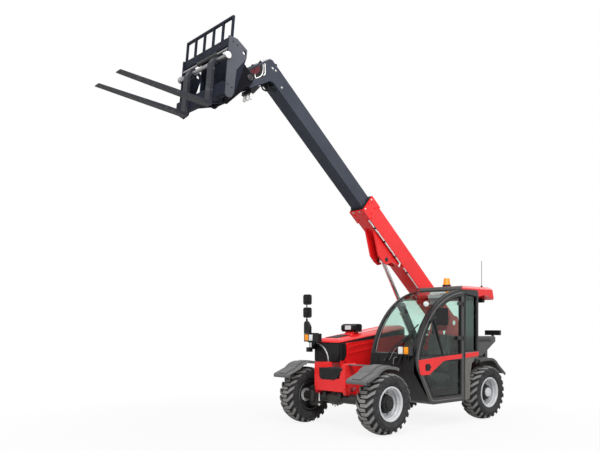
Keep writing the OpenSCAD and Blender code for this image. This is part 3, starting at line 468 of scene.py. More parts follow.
def piece(name, finish, edge=0.0, body="chassis", angle=35, where=None):
    """Finish the working mesh into a named piece that rides on a body; where places a mesh made in its own frame."""
    bmesh.ops.recalc_face_normals(bm, faces=bm.faces)
    mesh = bpy.data.meshes.new(name)
    bm.to_mesh(mesh)
    bm.clear()
    obj = put(name, mesh)
    if where:
        obj.matrix_world = where
    mesh.materials.append(MATS[finish])
    mesh.polygons.foreach_set("use_smooth", [True] * len(mesh.polygons))
    mesh.set_sharp_from_angle(angle=radians(angle))
    if edge:
        soften(obj, edge, angle)
    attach(obj, body)
    return obj


# The solids keep their shape and take a finish and softened edges

SOFT = {"tyre": 0.003, "cab_frame": 0.004, "hood": 0.016, "main_frame": 0.004, "boom_outer": 0.006, "boom_inner": 0.006,
        "fork": 0.004, "grille": 0.002, "lamp": 0.003, "roof": 0.008, "fender": 0.006, "bay": 0.004, "glass": 0.001,
        "windscreen": 0.001, "windows": 0.001, "rod": 0.002, "rim": 0.003}
OWN_FINISH = {"quarter_panel": "panel_brown", "boom_rest": "seal_rubber", "fork_shaft": "shaft_steel",
              "front_fenders": "fender_grey", "hood": "hood_red", "fork_frame": "carriage_paint",
              "load_guard": "carriage_paint", "coupler": "coupler_black"}


def dress(name, obj):
    for k, was in enumerate(list(obj.data.materials)):
        finish = OWN_FINISH.get(name, was.name.split(".")[0])
        obj.data.materials[k] = MATS.get(finish, MATS["dark_paint"])
    weld = obj.modifiers.new("weld", "WELD")
    weld.merge_threshold = 0.00005
    flat = obj.modifiers.new("flat", "DECIMATE")
    flat.decimate_type = "DISSOLVE"
    flat.angle_limit = radians(0.5)
    soften(obj, next((w for key, w in SOFT.items() if key in name), 0.004), 32)


for name, obj in nodes.items():
    dress(name, obj)


# Camera at the photograph's station

camera = put("camera", bpy.data.cameras.new("camera"))
camera.location = at(7.635, 6.453, 1.441)
camera.rotation_euler = Vector((-0.662, -0.75, 0)).to_track_quat("-Z", "Y").to_euler()
camera.data.sensor_width = 36.0
camera.data.lens = 38.97
camera.data.shift_y = 0.1667
scene.camera = camera


# Wheels: lugged tyres, hubs and nuts

TYRE_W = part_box("tyre_fl")[1].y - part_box("tyre_fl")[0].y
LUGS = 22
LUG_H = 0.03
LUG_W = 0.044
LUG_TURN = tan(radians(46))
LUG_BEND = 0.062


def tread_r(h, sunk):
    r = TREAD_R - sunk
    return WHEEL_R - TREAD_R + sqrt(max(r * r - h * h, 0.0))


def carcass_profile():
    half = TYRE_W / 2
    crown = [(tread_r(h, LUG_H), h) for h in (0, 0.04, 0.08, 0.115, 0.135)]
    side = [(WHEEL_R - 0.086, half - 0.006), (WHEEL_R - 0.1, half - 0.004), (WHEEL_R - 0.112, half),
            (WHEEL_R - 0.122, half), (WHEEL_R - 0.128, half - 0.004), (WHEEL_R - 0.15, half - 0.01),
            (0.262, half - 0.016), (0.25, half - 0.019), (0.246, half - 0.024), (0.24, half - 0.024)]
    return crown + side


def lug_stations(half):
    """Along a lug: place across the tread, top and foot radius, and how far it has turned round the tyre."""
    out = []
    for h in (-0.04, -0.034, 0.0, 0.03, LUG_BEND, 0.08, 0.112, half - 0.008):
        out.append((h, tread_r(h, 0.0), tread_r(h, LUG_H) - 0.004, max(h - LUG_BEND, 0.0) * LUG_TURN))
    turn = out[-1][3]
    out.append((half - 0.001, WHEEL_R - 0.07, WHEEL_R - 0.08, turn + 0.004))
    out.append((half - 0.001, WHEEL_R - 0.098, WHEEL_R - 0.099, turn + 0.008))
    return out


def wheel_frame(corner, side):
    """The wheel's own frame: Z along its axle, outwards."""
    return Matrix.Translation(middle("tyre_" + corner)) @ Matrix.Rotation(radians(-90 * side), 4, "X")


def tyre(corner, side):
    half = carcass_profile()
    full = [(r, -h) for r, h in reversed(half)] + half[1:]
    lathe(full + [full[0]], seg=96)
    for row in (1, -1):
        for k in range(LUGS):
            start = (k + (0.5 if row < 0 else 0)) * tau / LUGS
            rings = []
            for h, top, low, turn in lug_stations(TYRE_W / 2):
                wide = LUG_W / 2 * (1.25 if turn else 1.0)
                section = ((low, 1.22), (top - 0.005, 1), (top, 0.86), (top, -0.86), (top - 0.005, -1), (low, -1.22))
                turns = [(r, start + (w * wide - side * turn) / WHEEL_R) for r, w in section]
                rings.append([(r * cos(a), r * sin(a), row * h) for r, a in turns])
            loft(rings, False)
    obj = piece("tyre_tread_" + corner, "tyre_rubber", 0, "wheel_" + corner, 28, where=wheel_frame(corner, side))
    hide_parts("tyre_" + corner)


HUB = [(0, 0.0145), (0.126, 0.0145), (0.128, 0.018), (0.128, 0.028), (0.122, 0.034), (0.114, 0.036), (0.1105, 0.042),
       (0.1105, 0.072), (0.103, 0.084), (0.074, 0.092), (0, 0.092)]
HUB_CAP = [(0, 0.09), (0.07, 0.09), (0.07, 0.106), (0.063, 0.113), (0.03, 0.116), (0, 0.116)]
# A black lining over the rim's inner dish and barrel: painted shade inside the wheel.
INNER_DISH_SHADE = [(0.1, -0.0015), (0.184, -0.0015), (0.1995, -0.0155), (0.1995, -0.1225), (0.226, -0.1225), (0.226, -0.1255),
         (0.1975, -0.1255), (0.1975, -0.017), (0.183, -0.004), (0.1, -0.004), (0.1, -0.0015)]
RIM_STEP = [(0.2012, 0.104), (0.2012, 0.086), (0.1935, 0.08), (0.1905, 0.074), (0.1905, 0.058), (0.1935, 0.052),
            (0.2012, 0.046), (0.2012, 0.104)]


def hub(corner, side):
    where = wheel_frame(corner, side)
    body = "wheel_" + corner
    out = (0, 0, 1)
    lathe(HUB, seg=40)
    for x, y in spaced(10, 0.088):
        bolt((x, y, 0.0875), out, 0.006, 0.008)
    for x, y in spaced(8, 0.11):
        rod((x, y, 0.036), (x, y, 0.066), 0.009, 12)
    # Painted shade: the black lining inside the rim.
    lathe(INNER_DISH_SHADE, seg=64)
    piece("hub_" + corner, "hub_black", 0, body, where=where)
    lathe(RIM_STEP, seg=64)
    piece("rim_step_" + corner, "cap_silver", 0, body, where=where)
    lathe(HUB_CAP, seg=40)
    for x, y in spaced(6, 0.05):
        bolt((x, y, 0.1135), out, 0.005, 0.006)
    piece("hub_cap_" + corner, "hub_black" if corner[0] == "f" else "cap_silver", 0, body, where=where)
    for x, y in spaced(8, 0.152, 0.5):
        bolt((x, y, 0.0142), out, 0.012, 0.02)
    piece("wheel_nuts_" + corner, "zinc", 0, body, where=where)


for corner, side in (("fl", 1), ("fr", -1), ("rl", 1), ("rr", -1)):
    tyre(corner, side)
    hub(corner, side)


# Cab outlines in the side plane, moved in by d

CX, CZ, CR = CAB_CURVE
SILL_X = 0.285
CORNER_R = 0.15
NOSE_R = 0.3
BELT_Z = 1.0
CAB_REAR = -0.88
NOSE_TURN = radians(6.3)
FRONT_SLOPE = atan2(CZ + CR * sin(NOSE_TURN) - SILL_Z, CX + CR * cos(NOSE_TURN) - SILL_X)
DOOR_REAR = -0.428
PANE_Y = CAB_SIDES[1] - 0.002


def cab_corner(d):
    return SILL_X - d * tan(FRONT_SLOPE / 2), SILL_Z + d


def nose_centre():
    ux, uz = cos(FRONT_SLOPE), sin(FRONT_SLOPE)
    wx, wz = cab_corner(NOSE_R)[0] - CX, cab_corner(NOSE_R)[1] - CZ
    along = wx * ux + wz * uz
    k = -along + sqrt(along ** 2 - wx * wx - wz * wz + (CR - NOSE_R) ** 2)
    return wx + CX + ux * k, wz + CZ + uz * k


def cab_angle(z, d):
    return asin((z - CZ) / (CR - d))


def cab_front(d, start):
    n = nose_centre()
    turn = atan2(n[1] - CZ, n[0] - CX)
    return (arc((CX, CZ), CR - d, start, turn, 24) + arc(n, NOSE_R - d, turn, FRONT_SLOPE - pi / 2, 8)[1:]
            + arc(cab_corner(CORNER_R), CORNER_R - d, FRONT_SLOPE - pi / 2, -pi / 2, 8)[1:])


def at_side(points, y):
    """Side outline points (x, z) placed at y."""
    return [at(x, y, z) for x, z in points]


def seal(name, loops, r, body="chassis", finish="seal_rubber"):
    for loop in loops:
        tube(dense(loop), r, 8, True)
    piece(name, finish, 0, body, 60)


UPPER_PANE = (arc((CX, CZ), CR - DOOR_RING, acos((DOOR_REAR - CX) / (CR - DOOR_RING)),
                  cab_angle(BELT_Z + 0.02, DOOR_RING), 24) + [(DOOR_REAR, BELT_Z + 0.02)])
LOWER_PANE = (cab_front(DOOR_RING, cab_angle(BELT_Z - 0.06, DOOR_RING))
              + [(DOOR_REAR, SILL_Z + DOOR_RING), (DOOR_REAR, BELT_Z - 0.06)])
DOOR_EDGE = cab_front(0.048, acos((B_POST_X + 0.051 - CX) / (CR - 0.048))) + [(B_POST_X + 0.051, SILL_Z + 0.048)]
QUARTER = [(CAB_REAR + 0.05, 1.06), (CAB_REAR + 0.05, 1.88), (B_POST_X - 0.004, 1.91), (B_POST_X - 0.004, 1.06)]
SCREEN = arc((CX, CZ), CR - 0.003, radians(86), cab_angle(1.04, 0), 30)
RIGHT_PANE = (arc((CX, CZ), CR - 0.06, radians(92), cab_angle(1.04, 0.06), 24)
              + [(CAB_REAR + 0.06, 1.04), (CAB_REAR + 0.06, CAB_TOP - 0.125)])
SCREEN_Y = (0.11, 0.835)
BAND_W = 0.035

seal("door_seals", [at_side(UPPER_PANE, PANE_Y), at_side(LOWER_PANE, PANE_Y)], 0.008, "door")
screen_loop = at_side(SCREEN, SCREEN_Y[1]) + list(reversed(at_side(SCREEN, SCREEN_Y[0])))
seal("cab_seals", [screen_loop, at_side(QUARTER, PANE_Y), at_side(RIGHT_PANE, CAB_SIDES[0] + 0.002),
                   [at(CAB_REAR + 0.002, y, z) for y, z in ((0.12, 1.06), (0.82, 1.06), (0.82, 1.85), (0.12, 1.85))]],
     0.009)
# A pale line round the door's front edge: a painted highlight.
seal("door_frame_highlight", [at_side(DOOR_EDGE, CAB_SIDES[1] - 0.003)], 0.0055, finish="edge_grey")


# Door furniture: slanted window bar, handle, bottom strip, hinge caps

for y0, y1 in ((0.846, 0.853), (0.861, 0.87)):
    plate([(0.205, 1.5), (0.172, 1.512), (-0.046, 1.016), (-0.008, 1.016)], y0, y1)
plate([(DOOR_REAR, 1.022), (DOOR_REAR, 1.86), (DOOR_REAR + 0.026, 1.858), (DOOR_REAR + 0.026, 1.022)], 0.861, 0.868)
strip = [(x, z) for x, z in LOWER_PANE if z < 0.56]
plate([(0.392, 0.56)] + strip[:-1] + [(DOOR_REAR, 0.535)], 0.861, 0.866)
piece("door_trim", "black_plastic", 0.002, "door")

plate(rounded_rect(0.1, 0.096, 0.016, 0.362, 0.862), 0.885, 0.891)
plate(rounded_rect(0.072, 0.052, 0.012, 0.362, 0.868), 0.888, 0.9)
plate(rounded_rect(0.018, 0.03, 0.006, 0.3, 0.862), 0.885, 0.893)
piece("door_handle", "black_plastic", 0.0025, "door")

for z in (1.25, 1.75):
    rod(at(-0.484, 0.892, z + 0.0005), at(-0.484, 0.892, z + 0.034), 0.0125)
    for x in (-0.466, -0.44):
        bolt(at(x, 0.8915, z + 0.0125), (0, 1, 0), 0.005, 0.005)
    plate(rounded_rect(0.14, 0.054, 0.01, -0.404, z + 0.0125), 0.8795, 0.8895)
piece("door_hinge_caps", "black_paint", 0, "door")


# Cab: belt over the quarter panel, filler cap, cowl, lamps, wiper and trim

plate([(-0.533, 0.962), (-0.533, 1.032), (-0.868, 1.049), (-0.868, 0.984)], 0.8875, 0.894)
piece("quarter_belt", "red_paint", 0.0025)

FILLER = (-0.795, 0.905)
lathe([(0, 0), (0.045, 0), (0.045, 0.006), (0.04, 0.009), (0.034, 0.009), (0.034, 0.02), (0.03, 0.024), (0.0, 0.025)],
      turned(at(FILLER[0], 0.887, FILLER[1]), at(FILLER[0], 0.95, FILLER[1])), 36)
for x, z in spaced(8, 0.034):
    rod(at(FILLER[0] + x, 0.89, FILLER[1] + z), at(FILLER[0] + x, 0.909, FILLER[1] + z), 0.004, 8)
piece("filler_cap", "black_plastic")


def curved(d0, d1, a0, a1, n, y0, y1):
    """A strip that follows the cab's curve, between the depths d0 and d1."""
    plate(arc((CX, CZ), CR - d0, a0, a1, n) + arc((CX, CZ), CR - d1, a1, a0, n), y0, y1)


curved(-0.003, 0.004, cab_angle(1.032, 0), cab_angle(0.8, 0), 8, SCREEN_Y[0] - 0.04, SCREEN_Y[1] + 0.02)
for y in (0.2, 0.36, 0.52):
    curved(-0.009, -0.001, cab_angle(1.0, 0), cab_angle(0.84, 0), 6, y, y + 0.018)
piece("screen_cowl", "black_plastic", 0.002)


def front_skin(d0, d1, top, count=None):
    """The outline of a sheet down the cab's front, between the depths d0 and d1."""
    outer, inner = (cab_front(d, cab_angle(top, d))[:count] for d in (d0, d1))
    return outer + list(reversed(inner))


plate(front_skin(-0.003, 0.003, 0.8), 0.062, 0.866)
for y in (0.2, 0.42, 0.64):
    plate(front_skin(-0.01, -0.001, 0.76, 30), y, y + 0.022)
piece("front_bulkhead", "black_plastic", 0.0015)


def on_screen(angle, y, lift):
    a = radians(angle)
    return at(CX + (CR + lift) * cos(a), y, CZ + (CR + lift) * sin(a))


# Dark band printed round the screen, as a thin sheet just inside the glass

def screen_band(a0, a1, y0, y1, depth=0.011):
    curved(depth, depth + 0.003, radians(a0), radians(a1), 10, y0, y1)


screen_band(12.4, 13.4, *SCREEN_Y)
screen_band(13.4, 84.0, SCREEN_Y[0], SCREEN_Y[0] + BAND_W)
screen_band(13.4, 84.0, SCREEN_Y[1] - BAND_W, SCREEN_Y[1])
screen_band(81.0, 84.0, *SCREEN_Y)
piece("screen_band", "black_plastic", 0.001)

screen_band(60.0, 81.0, SCREEN_Y[0] + BAND_W, SCREEN_Y[1] - BAND_W, 0.0115)
piece("screen_shade", "smoke_glass")
# A dark film just inside the quarter window: painted shade of the cab's interior behind it.
plate(QUARTER, 0.845, 0.848)
piece("quarter_painted_shade", "dark_glass")

rod(on_screen(8.0, 0.36, 0.004), on_screen(8.0, 0.36, 0.04), 0.018)
hose(on_screen, [(8.0, 0.36, 0.034), (12.6, 0.431, 0.036), (17.1, 0.508, 0.034), (22.5, 0.64, 0.03),
                 (27.0, 0.728, 0.02)], 0.0085)
blade = [on_screen(a, 0.618 + (a - 20) * 0.0125, 0.011) for a in range(20, 36, 2)]
tube(blade, 0.0065)
tube([p + (p - at(CX, p.y, CZ)).normalized() * 0.01 for p in blade], 0.0045)
piece("wiper", "black_paint")
tube([on_screen(8.4, 0.428, 0.012), on_screen(12.6, 0.476, 0.014), on_screen(17.0, 0.525, 0.014)], 0.0055)
tube([on_screen(a, 0.587 + (a - 20) * 0.0156, 0.008) for a in range(20, 34, 3)], 0.0045)
hose(on_screen, [(10.4, 0.575, 0.016), (9.4, 0.525, 0.026), (5.5, 0.508, 0.012)], 0.0075)
# The line down the screen's left edge and along its foot is a painted highlight on the glass edge.
glass_edge_highlight = [on_screen(13.2, y, 0.002) for y in (0.149, 0.32, 0.58, 0.8)]
tube([on_screen(a, 0.149, 0.002) for a in range(40, 13, -3)] + glass_edge_highlight, 0.0045)
piece("screen_lines", "edge_grey", angle=60)

spot = at(0.285, 0.8, 1.745)
aim = Vector((0.8, 0.42, -0.25)).normalized()
lathe([(0, -0.05), (0.02, -0.05), (0.036, -0.03), (0.043, 0.0), (0.045, 0.012), (0.041, 0.014), (0.041, 0.006),
       (0, 0.006)], turned(spot, spot + aim), 32)
tube(smooth_path([spot - aim * 0.03, spot + Vector((-0.03, 0.0, -0.02)), on_screen(52, 0.845, -0.004)]), 0.007)
piece("work_lamp", "black_plastic")
lathe([(0, 0.007), (0.0405, 0.007), (0.038, 0.012), (0.024, 0.017), (0, 0.019)], turned(spot, spot + aim), 32)
piece("work_lamp_lens", "white_lens")

# Roof: lining, and a lamp below the rear visor
plate([(-0.47, 1.962), (-0.43, 1.968), (-0.43, 1.962), (-0.47, 1.944), (-0.84, 1.93), (-0.84, 1.944)], 0.105, 0.835)
piece("roof_lining", "black_plastic", 0.002)
box((-1.27, 0.6, 1.8), (-1.195, 0.74, 1.868))
box((-1.262, 0.65, 1.866), (-1.22, 0.69, 1.9))
piece("visor_lamp", "black_plastic", 0.008)
front_plate(rounded_rect(0.118, 0.05, 0.01, 0.67, 1.834), -1.274, -1.269)
piece("visor_lamp_lens", "white_lens", 0.002)


# Door belt with its deep front panel and slanted lower edge

plate([(-0.45, 0.962), (-0.45, 1.028), (0.56, 0.968), (0.551, 0.9), (0.534, 0.8), (0.518, 0.768),
       (0.49, 0.757), (0.33, 0.757), (0.292, 0.768), (0.262, 0.792), (0.03, 0.918), (-0.01, 0.934),
       (-0.06, 0.942)], 0.8795, 0.886)
belt = piece("belt_panel", "red_paint", 0.003, "door")
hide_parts("door_belt")


# Lamps: crowned lenses in front, hood lamp

def lens_face(x, y, z, w, h):
    """A rounded square with a crowned face."""
    crowned(Matrix.Translation(at(x, y, z)), rounded_rect(w, h, 0.01),
            ((1.0, -0.006), (1.0, 0.0), (0.92, 0.0042), (0.6, 0.006)))


lens_face(0.718, 0.694, 1.1, 0.082, 0.1)
lens_face(1.008, -0.81, 1.2575, 0.082, 0.095)
piece("head_lamp_lenses", "white_lens")
lens_face(0.718, 0.792, 1.1, 0.082, 0.1)
lens_face(1.008, -0.906, 1.2575, 0.082, 0.095)
piece("turn_lamp_lenses", "amber_lens")
front_plate(rounded_rect(0.12, 0.062, 0.012, -0.575, 1.408), 0.438, 0.4525)
piece("hood_lamp_lens", "white_lens", 0.003, "hood")
for y in (-0.69, -0.46):
    box((0.392, y - 0.028, 1.38), (0.452, y + 0.028, 1.44))
for k in range(5):
    box((0.3, -0.7 + k * 0.058, 1.462), (0.4, -0.69 + k * 0.058, 1.467))
piece("hood_lamp_cheeks", "black_plastic", 0.006, "hood")

# Lamp stays and wiring on the left, mirror bracket on the right
for line, r in (([(0.642, 0.7, 1.05), (0.65, 0.64, 0.99), (0.655, 0.61, 0.9)], 0.01),
                ([(0.65, 0.78, 1.04), (0.64, 0.77, 0.96), (0.628, 0.74, 0.88)], 0.01),
                ([(0.652, 0.655, 1.11), (0.635, 0.6, 1.06), (0.64, 0.56, 0.96), (0.63, 0.54, 0.86)], 0.006)):
    hose(at, line, r)
for y in (0.64, 0.85):
    box((0.648, y - 0.004, 1.033), (0.728, y + 0.004, 1.168))
piece("lamp_stays", "black_paint", 0.002)
MAST = (0.965, -0.945)
MIRROR_Z = (1.64, 1.84)
front_plate([(-0.985, 1.322), (-0.865, 1.322), (-0.865, 1.42), (-0.895, 1.47), (-0.925, 1.505), (-0.968, 1.505),
             (-0.985, 1.47)], 0.938, 0.992)
rod(at(*MAST, 1.5), at(*MAST, 1.54), 0.016)
for z in MIRROR_Z:
    rod(at(*MAST, z - 0.022), at(*MAST, z + 0.022), 0.017)
    lathe([(0, 0), (0.012, 0), (0.012, 0.014), (0.008, 0.018), (0, 0.018)],
          Matrix.Translation(at(*MAST, z + 0.022)), 16)
box((0.925, -0.94, 1.18), (0.945, -0.72, 1.33))
piece("mirror_bracket", "black_plastic", 0.005)


def mirror_face(name, centre, turn, w, h, r, out, body):
    """Mirror glass with its rim, on the rear side of a housing turned about Z."""
    crowned(Matrix.Translation(centre) @ Matrix.Rotation(radians(turn), 4, "Z"), rounded_rect(w, h, r, n=8),
            ((1.0, out), (1.0, out - 0.002), (0.97, out - 0.0035), (0.5, out - 0.0045)))
    piece(name, "mirror_face", 0, body)


for name, z in zip(("mirror_glass_low", "mirror_glass_high"), MIRROR_Z):
    mirror_face(name, at(*MAST, z), 35, 0.116, 0.146, 0.026, -0.0615, "chassis")
LEFT_X, LEFT_Z = arc((CX, CZ), CR - 0.075, radians(39.5), 0, 1)[0]
mirror_face("mirror_glass_left", at(LEFT_X - 0.12, 1.0, LEFT_Z + 0.071), 48, 0.142, 0.222, 0.028, -0.0195, "door")


# Hood: dark gap under its left edge, louvre panel, creases

def bay_top(x):
    return 1.185 + (0.89 - x) * 0.2 / 1.47


gap = [(x, bay_top(x) + 0.003) for x in (0.86, 0.5, 0.1, -0.3, -0.575)]
low = [(x, bay_top(x) - d) for x, d in ((-0.575, 0.085), (-0.3, 0.072), (0.1, 0.052), (0.5, 0.03), (0.86, 0.01))]
plate(gap + low, -0.3015, -0.2955)
piece("hood_gap_left", "seal_rubber", 0.001)
HOOD_RISE = 0.056 / cos(atan2(0.2, 1.47))


def hood_top(x):
    return bay_top(x) + HOOD_RISE


plate([(x, hood_top(x) + d) for x, d in ((0.79, -0.004), (0.79, 0.003), (0.5, 0.003), (0.5, -0.004))], -0.7, -0.45)
for k in range(9):
    x = 0.52 + k * 0.031
    plate([(x, hood_top(x)), (x + 0.004, hood_top(x) + 0.009), (x + 0.022, hood_top(x + 0.022) + 0.005),
           (x + 0.022, hood_top(x + 0.022))], -0.69, -0.46)
piece("hood_louvres", "black_plastic", 0.0015, "hood")
for y in (-0.42, -0.73):
    tube(dense([at(x, y, hood_top(x) + 0.001) for x in (0.78, -0.56)], 0.08, False), 0.005, 8)
piece("hood_creases", "red_paint", 0, "hood", 60)


# Grille: bright arc, wire mesh behind the slots, rim of the plain panel

GRILLE_C = (-0.82, 0.89)
rings = []
for k in range(33):
    wide = 0.006 + 0.008 * sin(pi * k / 32)
    section = ((0.889, 0.293), (0.903, 0.291), (0.9085, 0.287 - wide / 2), (0.903, 0.283 - wide), (0.889, 0.281 - wide))
    turn = radians(3 + 84 * k / 32)
    rings.append([at(x, GRILLE_C[0] + r * cos(turn), GRILLE_C[1] + r * sin(turn)) for x, r in section])
loft(rings)
piece("grille_arc", "arc_grey", angle=60)

for lean in SIDES:
    for k in range(-14, 30):
        wire = [(y, 0.905 + k * 0.022 + lean * (y + 0.82)) for y in (-0.842 + j * 0.006 for j in range(60))]
        inside = [(y, z) for y, z in wire if 0.906 < z < 1.178 and hypot(y - GRILLE_C[0], z - GRILLE_C[1]) < 0.268]
        if len(inside) > 3:
            tube([at(0.8905 + 0.001 * lean, *end) for end in (inside[0], inside[-1])], 0.0016, 6)
piece("grille_mesh", "black_paint", angle=60)

PANEL = [(-0.545, 1.172), (-0.34, 1.172), (-0.308, 1.12), (-0.306, 1.01), (-0.34, 0.925), (-0.48, 0.91), (-0.515, 1.01)]
tube(dense([at(0.9035, y, z) for y, z in PANEL], 0.03), 0.004, 8, True)
for k in range(4):
    ends = [at(0.9045, y + 0.006 * k, 0.95 + k * 0.022) for y in (-0.48, -0.345)]
    tube(dense(ends, 0.03, False), 0.003, 8)
piece("grille_panel_trim", "black_plastic", angle=60)


# Front post, pad on the nose, level rod beside it

WRAP = [(0.8935, 0.925), (0.8935, 1.17), (0.806, 1.182), (0.79, 1.16), (0.782, 1.06), (0.79, 0.985), (0.836, 0.925)]
plate(WRAP, -0.2995, -0.2715)
plate([(0.838 + (x - 0.838) * 0.8, 1.055 + (z - 1.055) * 0.84) for x, z in WRAP], -0.273, -0.2685)
piece("grille_wrap", "black_plastic", 0.004)

plate([(0.783, 0.935), (0.783, 1.172), (0.742, 1.178), (0.728, 1.06), (0.69, 0.96), (0.66, 0.9), (0.72, 0.9)],
      -0.2995, -0.282)
plate([(0.752, 1.0), (0.752, 1.172), (0.742, 1.174), (0.728, 1.06), (0.716, 1.03), (0.726, 1.02)], -0.284, -0.268)
plate([(0.888, 0.745), (0.888, 0.915), (0.876, 0.915), (0.876, 0.745)], -0.2755, -0.263)
for x, z in ((0.857, 0.88), (0.857, 0.79), (0.64, 0.85), (0.72, 0.9)):
    bolt(at(x, -0.2752, z), (0, 1, 0), 0.008, 0.008)
for z in (1.15, 1.085):
    bolt(at(0.768, -0.2825, z), (0, 1, 0), 0.008, 0.008)
piece("front_post", "red_paint", 0.0025)

NOSE_X = 1.2802
NOSE_PAD = [(-0.328, 0.846), (-0.328, 0.745), (-0.318, 0.712), (-0.298, 0.69), (-0.268, 0.679), (-0.035, 0.682),
            (-0.004, 0.688), (0.022, 0.704), (0.044, 0.728), (0.146, 0.848)]
front_plate(NOSE_PAD, NOSE_X, NOSE_X + 0.006)
for k in range(4):
    tube([at(NOSE_X + 0.006, y, 0.712 + k * 0.034) for y in (-0.285, 0.026 * k)], 0.0045, 8)
piece("nose_pad_ribs", "seal_rubber", 0.002, angle=50)
rod(at(1.225, -0.385, 0.545), at(1.215, -0.4, 0.345), 0.01)
lathe([(0, -0.017), (0.01, -0.014), (0.016, -0.006), (0.017, 0), (0.016, 0.006), (0.01, 0.014), (0, 0.017)],
      turned(at(1.2132, -0.4025, 0.3), at(1.215, -0.4, 0.345)), 20)
piece("level_rod", "white_paint")
rod(at(1.216, -0.3985, 0.352), at(1.2138, -0.4015, 0.314), 0.013)
rod(at(1.225, -0.42, 0.545), at(1.225, -0.35, 0.545), 0.014)
piece("level_rod_ends", "black_plastic")


# Boom: collar bolts, wiper frame, pipes and clamps, pivot caps

COLLAR_Y, COLLAR_T = 0.142, 0.1515


def collar_bolts(sides, faces):
    """Bolts (s, t) on both sides of the collar, and (s, y) on its top and bottom."""
    for side in SIDES:
        for s, t in sides:
            bolt(in_boom(s, side * COLLAR_Y, t), (0, side, 0), 0.011, 0.01)
        for s, y in faces:
            bolt(in_boom(s, y, side * COLLAR_T), in_boom(0, 0, side) - BOOM_PIVOT, 0.011, 0.01)


collar_bolts([(2.678, -0.108), (2.678, 0.088)], [(2.678, -0.067), (2.678, 0.053)])
piece("collar_bolts", "zinc", 0, "boom")
collar_bolts([(2.678, 0.01), (2.64, 0.085), (2.54, 0.055), (2.54, -0.055), (2.5, -0.11), (2.5, 0.11)],
             [(2.62, -0.08), (2.62, 0.08), (2.52, -0.08), (2.52, 0.08)])
piece("collar_screws", "red_paint", 0, "boom")

for y0, y1, t0, t1 in ((-0.126, 0.126, 0.1075, 0.134), (-0.126, 0.126, -0.134, -0.1075),
                       (-0.126, -0.1085, -0.1075, 0.1075), (0.1085, 0.126, -0.1075, 0.1075)):
    box((2.69, y0, t0), (2.712, y1, t1), in_boom)
for t in (-0.066, 0.058):
    for side in SIDES:
        box((2.7, side * 0.1175 - 0.0085, t - 0.034), (2.73, side * 0.1175 + 0.0085, t + 0.034), in_boom)
piece("boom_wiper", "black_plastic", 0.002, "boom")

hose(in_boom, [(2.47, 0.112, -0.149), (2.4, 0.11, -0.149), (2.28, 0.112, -0.149), (2.2, 0.117, -0.149),
               (1.64, 0.117, -0.149), (1.59, 0.117, -0.16), (1.575, 0.112, -0.19)], 0.0115)
hose(in_boom, [(1.48, 0.117, -0.146), (1.0, 0.117, -0.146), (0.5, 0.117, -0.146)], 0.0085, 6)
rod(in_boom(2.455, 0.112, -0.149), in_boom(2.5, 0.112, -0.149), 0.0155, 6)
rod(in_boom(1.576, 0.1125, -0.186), in_boom(1.57, 0.11, -0.206), 0.0155, 6)
piece("boom_pipes", "white_paint", 0, "boom", 60)
for s in (0.62, 1.0, 1.38, 1.74, 2.06, 2.34):
    box((s - 0.014, 0.098, -0.164), (s + 0.014, 0.132, -0.136), in_boom)
piece("pipe_clamps", "black_plastic", 0.003, "boom")

end_caps(in_boom, 0, 0.131, 0, [(0, 0), (0.068, 0), (0.068, 0.008), (0.06, 0.011), (0.044, 0.011), (0.044, 0.004),
                                (0, 0.004)], 32)
piece("pivot_rings", "cast_black", 0, "boom")

# Head of the inner section: bolts, a black plate painting the shade of the side opening, with its valve, pipes over the
# front edge, couplers below
HEAD_Y = 0.105
for side in SIDES:
    for s, t in ((4.76, -0.042), (4.96, 0.04), (5.01, 0.02)):
        bolt(in_boom(s, side * HEAD_Y, t), (0, side, 0), 0.012, 0.009)
piece("head_bolts", "zinc", 0, "boom_ext")

HEAD_OPENING_SHADE = [(5.118, -0.035), (5.13, -0.035), (5.24, -0.34), (5.1, -0.33), (5.044, -0.215), (5.032, -0.15)]
HEAD_VALVE = [(5.156, -0.14), (5.112, -0.196), (5.124, -0.258), (5.144, -0.298), (5.174, -0.236), (5.19, -0.226)]
VALVE_PLATE = [(5.15, -0.144), (5.118, -0.196), (5.13, -0.256), (5.168, -0.312), (5.212, -0.298)]
HEAD_PIPE = [(5.228, -0.185), (5.196, -0.095), (5.16, 0.006), (5.136, 0.066), (5.1, 0.107), (5.04, 0.113),
             (4.96, 0.113)]
BAY_Y = 0.103
PIPE_Y = 0.084
# Along the boom, millimetres that the second hose is moved by, and square to the boom
BAY_HOSE = [(5.13, 8, -0.085), (5.096, 22, -0.145), (5.086, 24, -0.205), (5.098, 26, -0.275)]
# A black plate on each side paints the shade inside the head's side opening.
plates(HEAD_OPENING_SHADE, BAY_Y, 0.1056, in_boom)
for side in SIDES:
    for k in range(2):
        hose(in_boom, [(s + 0.001 * k * shift, side * 0.106, t) for s, shift, t in BAY_HOSE], 0.0085)
piece("head_hoses_and_opening_shade", "seal_rubber", 0, "boom_ext", 50)
plates(HEAD_VALVE, BAY_Y, 0.118, in_boom)
plates(VALVE_PLATE, BAY_Y, 0.106, in_boom)
piece("head_valve", "valve_red", 0.002, "boom_ext")
for side in SIDES:
    for line in ([(5.136, -0.078), (5.1, -0.123), (5.068, -0.171), (5.064, -0.226), (5.088, -0.3)],
                 [(5.124, -0.042), (5.08, -0.09), (5.04, -0.14), (5.042, -0.178)],
                 [(5.15, -0.27), (5.12, -0.291), (5.092, -0.308)]):
        hose(in_boom, [(s, side * 0.108, t) for s, t in line], 0.0075, 8, 8)
    hose(in_boom, [(s, side * PIPE_Y, t) for s, t in HEAD_PIPE], 0.0085)
piece("head_pipes", "white_paint", 0, "boom_ext", 60)
